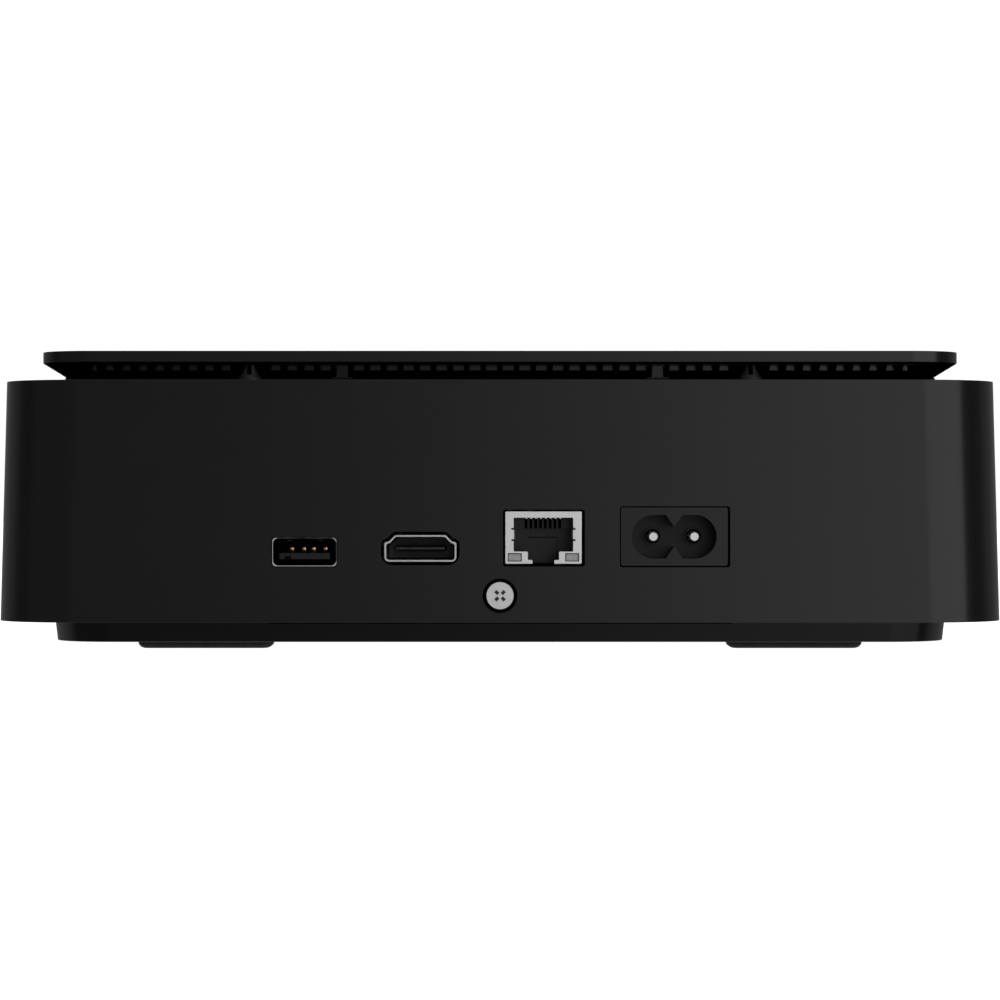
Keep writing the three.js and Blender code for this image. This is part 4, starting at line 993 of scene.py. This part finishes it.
def spring_strip(name, x, width, thickness, path, crown=0.0):
    """A strip along a path of (y, z) points, smoothed into bends; a crown makes its outer face convex."""
    path = smoothed(path)
    half = width / 2
    deep = thickness / 2
    section = ((-half, -deep), (0, -deep - crown), (half, -deep), (half, deep), (-half, deep))
    count = len(section)
    points = []
    for i, (y, z) in enumerate(path):
        before = path[max(i - 1, 0)]
        after = path[min(i + 1, len(path) - 1)]
        along = Vector((after[0] - before[0], after[1] - before[1])).normalized()
        for dx, offset in section:
            points.append((x + dx, y - along.y * offset, z + along.x * offset))
    faces = [list(range(count))[::-1]]
    for i in range(len(path) - 1):
        for j in range(count):
            a = i * count + j
            b = i * count + (j + 1) % count
            faces.append([a, b, b + count, a + count])
    last = (len(path) - 1) * count
    faces.append([last + j for j in range(count)])
    strip = make_object(name, points, faces)
    outwards(strip)
    return soften(strip, min(width, thickness) * 0.2, 1)


def smoothed(path, rounds=2):
    """Cuts the corners of an open path, so that its bends are round."""
    for _ in range(rounds):
        finer = [path[0]]
        for (ay, az), (by, bz) in zip(path, path[1:]):
            finer.append((ay * 0.75 + by * 0.25, az * 0.75 + bz * 0.25))
            finer.append((ay * 0.25 + by * 0.75, az * 0.25 + bz * 0.75))
        finer.append(path[-1])
        path = finer
    return path


def outwards(obj):
    """Turns every face of a closed mesh to point out."""
    work = bmesh.new()
    work.from_mesh(obj.data)
    bmesh.ops.recalc_face_normals(work, faces=work.faces)
    work.to_mesh(obj.data)
    work.free()
    return obj


# ---------------------------------------------------------------- HDMI socket

HDMI_DEPTH = 12.0
HDMI_WALL = 0.4
HDMI_CONTACTS = 19
HDMI_CONTACT_PITCH = 0.52
HDMI_TONGUE_FRONT = 1.5
HDMI_TONGUE_HALF = Vector((5.45, 0.63))


def make_hdmi_sleeve():
    outer = [(hdmi_outline(i), y) for i, y in ((0.08, 0.0), (0.02, 0.03), (0.0, 0.08), (0.0, HDMI_DEPTH))]
    shell = loft_outlines("hdmi_sleeve", outer)
    lips = ((HDMI_WALL - 0.08, -CUT), (HDMI_WALL - 0.08, 0.0), (HDMI_WALL - 0.02, 0.03), (HDMI_WALL, 0.08),
            (HDMI_WALL, HDMI_DEPTH + CUT))
    combine(shell, loft_outlines("inner", [(hdmi_outline(i), y) for i, y in lips]))
    move(shell, HDMI)
    finish_piece(shell, HDMI_STEEL, replaces=["hdmi_shell"])


def make_hdmi_tongue():
    """A blade with a chamfered nose and nineteen fine contacts let into its face."""
    half = HDMI_TONGUE_HALF
    layers = []
    for inset, y in ((0.36, 0.0), (0.0, 0.75), (0.0, 8.0)):
        outline = rounded_outline(half.x - inset, half.y - inset, 0.5 - inset, 5)
        layers.append((outline, HDMI_TONGUE_FRONT + y))
    tongue = loft_outlines("hdmi_tongue_moulding", layers)
    root = prism("root", hdmi_outline(HDMI_WALL + GAP), HDMI_DEPTH - 3, HDMI_DEPTH - GAP)
    combine(tongue, root, "UNION")
    slots = []
    for i in range(HDMI_CONTACTS):
        x = row_x(i, HDMI_CONTACTS, HDMI_CONTACT_PITCH)
        slots.append(((x - 0.1, HDMI_TONGUE_FRONT - CUT, -0.2), (x + 0.1, HDMI_TONGUE_FRONT + 0.25, 0.2)))
    combine(tongue, boxes_object("contact_slots", slots))
    move(tongue, HDMI)
    # Painted shade: the tongue takes the less reflective recess plastic.
    finish_piece(tongue, RECESS_SHADE_PLASTIC, replaces=["hdmi_tongue"])
    fingers = []
    for i in range(HDMI_CONTACTS):
        x = row_x(i, HDMI_CONTACTS, HDMI_CONTACT_PITCH)
        fingers.append(((x - 0.07, HDMI_TONGUE_FRONT + 0.06, -0.17),
                        (x + 0.07, HDMI_TONGUE_FRONT + 0.24, 0.17)))
    # Painted shade: the contacts take a darkened metal, for their place deep in the socket.
    contacts = boxes_object("hdmi_contact_row", fingers)
    move(contacts, HDMI)
    finish_piece(contacts, SHADED_CONTACT_METAL)


# ---------------------------------------------------------------- Ethernet socket

RJ45_DEPTH = 21.0
RJ45_WALL = 0.5
RJ45_CAVITY_HALF = 6.2
RJ45_CAVITY_TOP = 4.17
RJ45_CAVITY_BOTTOM = -2.9
RJ45_STEPS = ((3.25, -4.65), (2.27, -5.5))
RJ45_SLIT_Z = (1.83, -0.52)
RJ45_SLIT = 0.5
RJ45_SLIT_HALF = 0.2
COMB_SLOT_HALF = 0.32
RJ45_CONTACTS = 8
RJ45_PITCH = 1.015
LED_X = 5.98
LED_Z = -4.1
LED_HALF = (1.45, 0.87)


def rj45_opening(clearance, low_y, high_y):
    """The plug's way in, as one closed outline carried back from the face."""
    c = clearance
    (wide, wide_z), (narrow, narrow_z) = RJ45_STEPS
    right = [(narrow + c, narrow_z - c), (narrow + c, wide_z - c), (wide + c, wide_z - c),
             (wide + c, RJ45_CAVITY_BOTTOM - c), (RJ45_CAVITY_HALF + c, RJ45_CAVITY_BOTTOM - c),
             (RJ45_CAVITY_HALF + c, RJ45_CAVITY_TOP + c)]
    left = [(-x, z) for x, z in reversed(right)]
    return prism("opening", right + left, low_y, high_y)


def contact_x(index):
    return row_x(index, RJ45_CONTACTS, RJ45_PITCH)


def place_rj45(obj, material, replaces=()):
    move(obj, RJ45)
    return finish_piece(obj, material, replaces=replaces)


def light_boxes(margin, depth):
    """The two light windows in the lower corners of the face."""
    boxes = []
    for side in (-1, 1):
        low = (side * LED_X - LED_HALF[0] - margin, -CUT, LED_Z - LED_HALF[1] - margin)
        high = (side * LED_X + LED_HALF[0] + margin, depth, LED_Z + LED_HALF[1] + margin)
        boxes.append((low, high))
    return boxes


def make_rj45_shield():
    outlines = [(0.1, 0.0), (0.03, 0.04), (0.0, 0.1), (0.0, RJ45_DEPTH)]
    layers = [(rounded_outline(RJ45_HALF.x - i, RJ45_HALF.y - i, 0.25), y) for i, y in outlines]
    shield = loft_outlines("rj45_shield", layers)
    inside_x = RJ45_HALF.x - RJ45_WALL
    room = box_object("room", (-inside_x, RJ45_WALL, -RJ45_HALF.y - CUT),
                      (inside_x, RJ45_DEPTH + CUT, RJ45_HALF.y - RJ45_WALL))
    combine(shield, room)
    combine(shield, soften(rj45_opening(0, -CUT, RJ45_WALL + CUT), 0.18, 3))
    slits = []
    for side in (-1, 1):
        for z in RJ45_SLIT_Z:
            ends = sorted((side * (RJ45_CAVITY_HALF - 0.4), side * (RJ45_CAVITY_HALF + RJ45_SLIT)))
            slits.append(((ends[0], -CUT, z - RJ45_SLIT_HALF),
                          (ends[1], RJ45_WALL + CUT, z + RJ45_SLIT_HALF)))
    combine(shield, boxes_object("slits", slits + light_boxes(0, RJ45_WALL + CUT)))
    soften(shield, 0.04, 1, angle=50)
    place_rj45(shield, SATIN_STEEL, ["rj45_shell"])


def make_rj45_springs():
    """Between each side's slits a strip of the face bulges into the way in and folds back."""
    top_z = RJ45_SLIT_Z[0] - RJ45_SLIT_HALF
    bottom_z = RJ45_SLIT_Z[1] + RJ45_SLIT_HALF
    edge = RJ45_CAVITY_HALF
    for name, side in (("left", -1), ("right", 1)):
        path = [(0.12, side * (edge + 0.3)), (0.12, side * (edge - 0.02)), (0.5, side * (edge - 0.1)),
                (3.0, side * (edge - 0.2)), (6.0, side * (edge - 0.1))]
        spring = spring_strip("rj45_spring_" + name, 0, top_z - bottom_z, 0.22, path)
        spring.data.transform(Matrix.Rotation(QUARTER, 4, "Y"))
        move(spring, (0, 0, (top_z + bottom_z) / 2))
        place_rj45(spring, SATIN_STEEL)


def make_rj45_insert():
    """The black moulding round the plug's room, with a slotted block for the contacts and a latch panel."""
    front = RJ45_WALL + 0.25
    back = front + 13
    insert = box_object("rj45_insert_moulding", (-RJ45_HALF.x + 0.8, front, -RJ45_HALF.y),
                        (RJ45_HALF.x - 0.8, RJ45_DEPTH - CUT, RJ45_HALF.y - 0.8))
    combine(insert, rj45_opening(0.12, -CUT, back))
    combine(insert, boxes_object("lamps", light_boxes(0.2, 4.2)))
    for i in range(RJ45_CONTACTS):
        x = contact_x(i)
        combine(insert, box_object("groove", (x - COMB_SLOT_HALF, -CUT, RJ45_CAVITY_TOP - CUT),
                                   (x + COMB_SLOT_HALF, back, RJ45_CAVITY_TOP + 0.45)))
    place_rj45(insert, INSERT_PLASTIC, ["rj45_insert"])
    seams = [((-3.1, back - 0.02, -0.16), (3.1, back - 0.01, 0.02)),
             ((3.0, back - 0.02, -5), (3.1, back - 0.01, -0.16))]
    place_rj45(boxes_object("rj45_latch_seams", seams), SHADE_AND_SEAM_BLACK)
    block_front = front + 8.5
    block = box_object("rj45_contact_block", (-RJ45_CAVITY_HALF + 0.15, block_front, RJ45_CAVITY_TOP - 2.3),
                       (RJ45_CAVITY_HALF - 0.15, back - 0.1, RJ45_CAVITY_TOP - 0.05))
    slots = []
    for i in range(RJ45_CONTACTS):
        x = contact_x(i)
        slots.append(((x - COMB_SLOT_HALF, block_front - CUT, RJ45_CAVITY_TOP - 3),
                      (x + COMB_SLOT_HALF, back + CUT, RJ45_CAVITY_TOP + 1)))
    combine(block, boxes_object("slots", slots))
    place_rj45(block, INSERT_PLASTIC)
    # Painted shade: a near-black sheet behind the contact block makes its slots read black.
    backing = box_object("rj45_block_backing", (-4.4, back - 0.08, RJ45_CAVITY_TOP - 2.35),
                         (4.4, back - 0.02, RJ45_CAVITY_TOP))
    place_rj45(backing, SHADE_AND_SEAM_BLACK)


def make_rj45_contacts():
    """Spring wires whose tips show under the face's edge, lying in grooves in the roof."""
    top = RJ45_CAVITY_TOP
    path = [(0.62, top - 0.24), (0.62, top + 0.1), (1.1, top + 0.24), (6.0, top + 0.27), (12.5, top + 0.22)]
    springs = [spring_strip("pin", contact_x(i), 0.34, 0.2, path) for i in range(RJ45_CONTACTS)]
    place_rj45(join_objects("rj45_contact_springs", springs), PALE_GOLD, ["rj45_contacts"])


def make_rj45_lights():
    for name, side in (("left", -1), ("right", 1)):
        layers = []
        for inset, y in ((0.24, 0.3), (0.16, 0.38), (0.16, 3.8)):
            half = (LED_HALF[0] - inset, LED_HALF[1] - inset)
            layers.append((rounded_outline(*half, 0.15, 3, (side * LED_X, LED_Z)), y))
        place_rj45(loft_outlines("rj45_lens_" + name, layers), LENS, ["rj45_light_" + name])


# ---------------------------------------------------------------- mains inlet

INLET_DEPTH = 16.5
RECESS_DEPTH = 11.0
LOBE_RADIUS = 4.5
LOBE_X = 4.3
WAIST_HALF = 2.15
NOTCH_HALF = 1.75
NOTCH_TIP = 0.12
PIN_RADIUS = 1.15
WELL_RADIUS = 1.55
STEP_RADIUS = 1.95
WELL_DEPTH = 2.0


def recess_outline(grow=0.0, steps=20):
    """The figure of eight: two lobes with a V notch between them above and below."""
    radius = LOBE_RADIUS + grow
    outline = []
    for step in range(steps + 1):
        angle = -QUARTER + math.pi * step / steps
        outline.append((LOBE_X + radius * math.cos(angle), radius * math.sin(angle)))
    waist = WAIST_HALF + grow
    outline += [(NOTCH_HALF, radius), (NOTCH_TIP, waist), (-NOTCH_TIP, waist), (-NOTCH_HALF, radius)]
    for step in range(steps + 1):
        angle = QUARTER + math.pi * step / steps
        outline.append((-LOBE_X + radius * math.cos(angle), radius * math.sin(angle)))
    outline += [(-NOTCH_HALF, -radius), (-NOTCH_TIP, -waist), (NOTCH_TIP, -waist), (NOTCH_HALF, -radius)]
    return outline


def make_inlet():
    face = [(0.06, 0.0), (0.0, 0.06), (0.0, 2.0)]
    layers = [(rounded_outline(INLET_HALF.x - i, INLET_HALF.y - i, 0.5), y) for i, y in face]
    moulding = loft_outlines("inlet_moulding", layers)
    combine(moulding, box_object("housing", (-10.3, 1.0, -5.7), (10.3, INLET_DEPTH, 5.7)), "UNION")
    mouth_layers = [(0.05, -CUT), (0.05, 0.0), (0.0, 0.06), (0.0, RECESS_DEPTH)]
    combine(moulding, loft_outlines("recess", [(recess_outline(grow), y) for grow, y in mouth_layers]))
    move(moulding, INLET)
    finish_piece(moulding, SHELL_PLASTIC, replaces=["power_inlet"], angle=30)
    # Painted shade: the recess floor takes the shell's plastic with less reflection, so it reads darker than
    # the face.
    floor_y = RECESS_DEPTH - WELL_DEPTH
    floor = prism("inlet_floor", recess_outline(-0.05), floor_y, RECESS_DEPTH - 0.02)
    for x in (-LOBE_X, LOBE_X):
        step = [(0, floor_y - 0.12), (STEP_RADIUS, floor_y - 0.12), (STEP_RADIUS + 0.12, floor_y + 0.1),
                (0, floor_y + 0.1)]
        combine(floor, lathe("step", step, axis="y", centre=(x, 0, 0)), "UNION")
    for name, x in (("left", -LOBE_X), ("right", LOBE_X)):
        centre = (x + 0.2, 0, 0)
        well = rod(WELL_RADIUS, floor_y - CUT, RECESS_DEPTH + CUT)
        combine(floor, lathe("well", well, axis="y", centre=centre))
        # Painted shade: a near-black cup lines each pin's well.
        bottom_y = RECESS_DEPTH - 0.3
        inside, outside = WELL_RADIUS - 0.08, WELL_RADIUS - 0.02
        cup_profile = [(0, bottom_y), (inside, bottom_y), (inside, floor_y + 0.06), (outside, floor_y + 0.06),
                       (outside, bottom_y + 0.2), (0, bottom_y + 0.2)]
        cup = lathe("inlet_well_" + name, cup_profile, axis="y", centre=centre)
        move(cup, INLET)
        finish_piece(cup, VENT_AND_SHADE_BLACK)
    move(floor, INLET)
    finish_piece(floor, RECESS_SHADE_PLASTIC, angle=20)


def make_inlet_pins():
    """Flat-tipped pins that stand in the wells."""
    for name in ("left", "right"):
        low, high = span("power_pin_" + name)
        centre = ((low.x + high.x) / 2, 0, INLET.z)
        tip = low.y
        profile = [(0, tip), (0.84, tip), (0.94, tip + 0.1), (1.0, tip + 0.4), (PIN_RADIUS, tip + 2.0),
                   (PIN_RADIUS, high.y), (0, high.y)]
        pin = lathe("inlet_pin_" + name, profile, axis="y", centre=centre)
        finish_piece(pin, PIN_AND_HIGHLIGHT_METAL, replaces=["power_pin_" + name], angle=15)


# ---------------------------------------------------------------- case screw and front controls

SCREW_HEAD_RADIUS = 2.87
SCREW_RIM = 0.28
SCREW_HEAD_HEIGHT = 1.2
SHANK_RADIUS = 1.5
SHANK_LENGTH = 7.0
CROSS_INNER = 0.5
CROSS_OUTER = 1.42
CROSS_WIDTH = 0.7
CROSS_DEPTH = 0.6

CAP_RADIUS = 4.6
DISH_DEPTH = 0.35
STEM_RADIUS = 2.0
STEM_LENGTH = 1.7
FLANGE_RADIUS = 6.0
FLANGE_THICKNESS = 1.0


def make_screw():
    """A flat head with a rolled rim; the driver's cross shows as four tapering pits round its centre."""
    head_y = SCREW.y
    radius = SCREW_HEAD_RADIUS
    inner = radius - SCREW_RIM
    under_y = head_y + SCREW_HEAD_HEIGHT
    end_y = under_y + SHANK_LENGTH
    profile = [(0, head_y), (inner, head_y), (inner, under_y), (SHANK_RADIUS, under_y), (SHANK_RADIUS, end_y),
               (0, end_y)]
    rim_profile = [(0, head_y), (radius - 0.08, head_y), (radius, head_y + 0.08), (radius, under_y),
                   (0, under_y)]
    # Painted highlight: the head's outer ring is a separate piece in brighter metal than the zinc face.
    rim = turned_y("screw_rim", rim_profile, SCREW, 64)
    combine(rim, turned_y("bore", rod(inner + 0.01, head_y - CUT, under_y + 0.8), SCREW, 64))
    finish_piece(rim, PIN_AND_HIGHLIGHT_METAL, angle=10)
    screw = turned_y("case_screw", profile, SCREW, 64)
    half = CROSS_WIDTH / 2
    mouth_outline = [(CROSS_INNER, -half), (CROSS_OUTER, -half), (CROSS_OUTER, half), (CROSS_INNER, half)]
    floor_outline = [(CROSS_INNER + 0.1, -half * 0.5), (CROSS_OUTER - 0.45, -half * 0.5),
                     (CROSS_OUTER - 0.45, half * 0.5), (CROSS_INNER + 0.1, half * 0.5)]
    for degrees in (45, 135, 225, 315):
        pit_layers = [(mouth_outline, -0.5), (mouth_outline, 0.0), (floor_outline, CROSS_DEPTH)]
        pit = loft_outlines("pit", pit_layers)
        pit.data.transform(Matrix.Rotation(math.radians(degrees), 4, "Y"))
        move(pit, SCREW)
        combine(screw, pit)
        # Painted shade: a darker metal plate sits a little inside each pit.
        shade = box_object("screw_pit_shade_" + str(degrees), (CROSS_INNER + 0.06, 0.12, -half + 0.05),
                           (CROSS_OUTER - 0.1, 0.2, half - 0.05))
        shade.data.transform(Matrix.Rotation(math.radians(degrees), 4, "Y"))
        move(shade, SCREW)
        finish_piece(shade, PIT_SHADE_METAL)
    return finish_piece(screw, ZINC, replaces=["rear_screw"], angle=10)


def make_button():
    """A dished cap with a rolled rim, on the flange and stem that press the switch."""
    face = BUTTON_HIGH.y
    radius = CAP_RADIUS
    stem_y = BUTTON_LOW.y + STEM_LENGTH
    flange_y = stem_y + FLANGE_THICKNESS
    profile = [(0, BUTTON_LOW.y), (STEM_RADIUS, BUTTON_LOW.y), (STEM_RADIUS, stem_y), (FLANGE_RADIUS, stem_y),
               (FLANGE_RADIUS, flange_y), (radius, flange_y), (radius, face - DISH_DEPTH),
               (radius - 0.1, face - 0.1), (radius - DISH_DEPTH, face)]
    dish_steps = 8
    for i in range(dish_steps):
        share = i / dish_steps
        profile.append(((radius - 0.6) * (1 - share), face - DISH_DEPTH * math.sin(QUARTER * share)))
    profile.append((0, face - DISH_DEPTH))
    button = turned_y("power_button_cap", profile, BUTTON_CENTRE, 64)
    return finish_piece(button, SHELL_PLASTIC, body="button", replaces=["power_button"],
                        angle=30)


make_usb_sleeve()
make_usb_tabs()
make_usb_tongue()
make_usb_contacts()
make_hdmi_sleeve()
make_hdmi_tongue()
make_rj45_shield()
make_rj45_springs()
make_rj45_insert()
make_rj45_contacts()
make_rj45_lights()
make_inlet()
make_inlet_pins()
make_screw()
make_button()


# ---------------------------------------------------------------- studio

CAMERA_DISTANCE = 700.0
CAMERA_HEIGHT = 31.66
VIEW_SPAN = 1000 / 3360

# Directions in degrees from behind the rear view's camera, positive to its right, and heights as sines.
SOFTBOX_NEAR = (-5, 13)
SOFTBOX_FAR = (63, 67)
SOFTBOX_LOW = (-0.44, -0.05)
SOFTBOX_HIGH = (0.6, 0.9)
SOFTBOX_LEVEL = 1.05
WALL_LEVEL = 0.18
GAP_DEPTH = 0.45
SHADE_BELOW = (-0.38, -0.12)
SHADE_LEVEL = 0.4
BOUNCE = (-0.45, -0.9)
BOUNCE_LEVEL = 0.45
SKY_LEVEL = 0.3
FRONT_WALL = (152, 178)
FRONT_LEVEL = 0.3
PALE_FLOOR = (75, 100)
PALE_FLOOR_DOWN = (-0.08, -0.3)
PALE_FLOOR_LEVEL = 0.35
BACKDROP_LEVEL = 1.05
SIDE_GAP_NEAR = (68, 82)
SIDE_GAP_FAR = (95, 112)
SKY = (0.6, 0.95)
FLOOR_HALF = 4000


def make_camera():
    data = bpy.data.cameras.new("camera")
    data.sensor_width = 36.0
    data.lens = data.sensor_width / VIEW_SPAN
    camera = bpy.data.objects.new("camera", data)
    camera.location = Vector((0, -BODY_BOTTOM_HALF - CAMERA_DISTANCE, CAMERA_HEIGHT)) * MM
    camera.rotation_euler = (QUARTER, 0, 0)
    bpy.context.scene.collection.objects.link(camera)
    bpy.context.scene.camera = camera


def make_world():
    """A white backdrop for the camera; for everything else a soft studio.

    A tall softbox stands behind the camera and to its right, with dim walls all round,
    a darker gap on either side, a paler wall and floor in front, a bounce card below and a weak
    skylight above.
    """
    world = bpy.data.worlds.new("studio")
    world.use_nodes = True
    tree = world.node_tree

    def maths(operation, a, b=None):
        node = tree.nodes.new("ShaderNodeMath")
        node.operation = operation
        for socket, value in zip(node.inputs, (a, b)):
            if hasattr(value, "links"):
                tree.links.new(value, socket)
            elif value is not None:
                socket.default_value = value
        return node.outputs[0]

    def step(value, start, end, low=0.0, high=1.0):
        node = tree.nodes.new("ShaderNodeMapRange")
        node.interpolation_type = "SMOOTHSTEP"
        tree.links.new(value, node.inputs["Value"])
        for name, number in (("From Min", start), ("From Max", end), ("To Min", low), ("To Max", high)):
            node.inputs[name].default_value = number
        return node.outputs["Result"]

    direction = tree.nodes.new("ShaderNodeSeparateXYZ")
    tree.links.new(tree.nodes.new("ShaderNodeTexCoord").outputs["Generated"], direction.inputs[0])
    x, y, z = direction.outputs
    azimuth = maths("MULTIPLY", maths("ARCTAN2", x, maths("MULTIPLY", y, -1.0)), 180 / math.pi)
    aside = maths("ABSOLUTE", azimuth)

    softbox = maths("MULTIPLY", step(azimuth, *SOFTBOX_NEAR), step(azimuth, *SOFTBOX_FAR, 1.0, 0.0))
    heights = maths("MULTIPLY", step(z, *SOFTBOX_LOW), step(z, *SOFTBOX_HIGH, 1.0, 0.0))
    softbox = maths("MULTIPLY", softbox, heights)
    gap = maths("MULTIPLY", step(aside, *SIDE_GAP_NEAR), step(aside, *SIDE_GAP_FAR, 1.0, 0.0))
    walls = maths("MULTIPLY", maths("SUBTRACT", 1.0, maths("MULTIPLY", gap, GAP_DEPTH)), WALL_LEVEL)
    walls = maths("MULTIPLY", walls, step(z, *SHADE_BELOW, SHADE_LEVEL, 1.0))
    light = maths("ADD", maths("MULTIPLY", softbox, SOFTBOX_LEVEL), walls)
    light = maths("ADD", light, step(z, *BOUNCE, 0.0, BOUNCE_LEVEL))
    light = maths("ADD", light, step(z, *SKY, 0.0, SKY_LEVEL))
    light = maths("ADD", light, step(aside, *FRONT_WALL, 0.0, FRONT_LEVEL))
    pale_floor = maths("MULTIPLY", step(aside, *PALE_FLOOR), step(z, *PALE_FLOOR_DOWN, 0.0, PALE_FLOOR_LEVEL))
    light = maths("ADD", light, pale_floor)
    seen = tree.nodes.new("ShaderNodeLightPath").outputs["Is Camera Ray"]
    unseen = maths("SUBTRACT", 1.0, seen)
    strength = maths("ADD", maths("MULTIPLY", light, unseen), maths("MULTIPLY", seen, BACKDROP_LEVEL))
    tree.links.new(strength, tree.nodes["Background"].inputs["Strength"])
    tree.nodes["Background"].inputs["Color"].default_value = (1, 1, 1, 1)
    bpy.context.scene.world = world


def make_floor():
    far = FLOOR_HALF
    corners = [(-far, -far, 0), (far, -far, 0), (far, far, 0), (-far, far, 0)]
    floor = make_object("floor", corners, [[0, 1, 2, 3]])
    nodes = Nodes("white floor")
    nodes.mottle(40, 3, grey(0.88), grey(0.92))
    nodes.set(Roughness=0.9, Emission_Color=(1, 1, 1, 1), Emission_Strength=1.0)
    floor.data.materials.append(nodes.material)
    floor.visible_glossy = False
    floor.visible_diffuse = False
    floor.visible_shadow = False


make_camera()
make_world()
make_floor()
bpy.context.scene.view_settings.view_transform = "Standard"
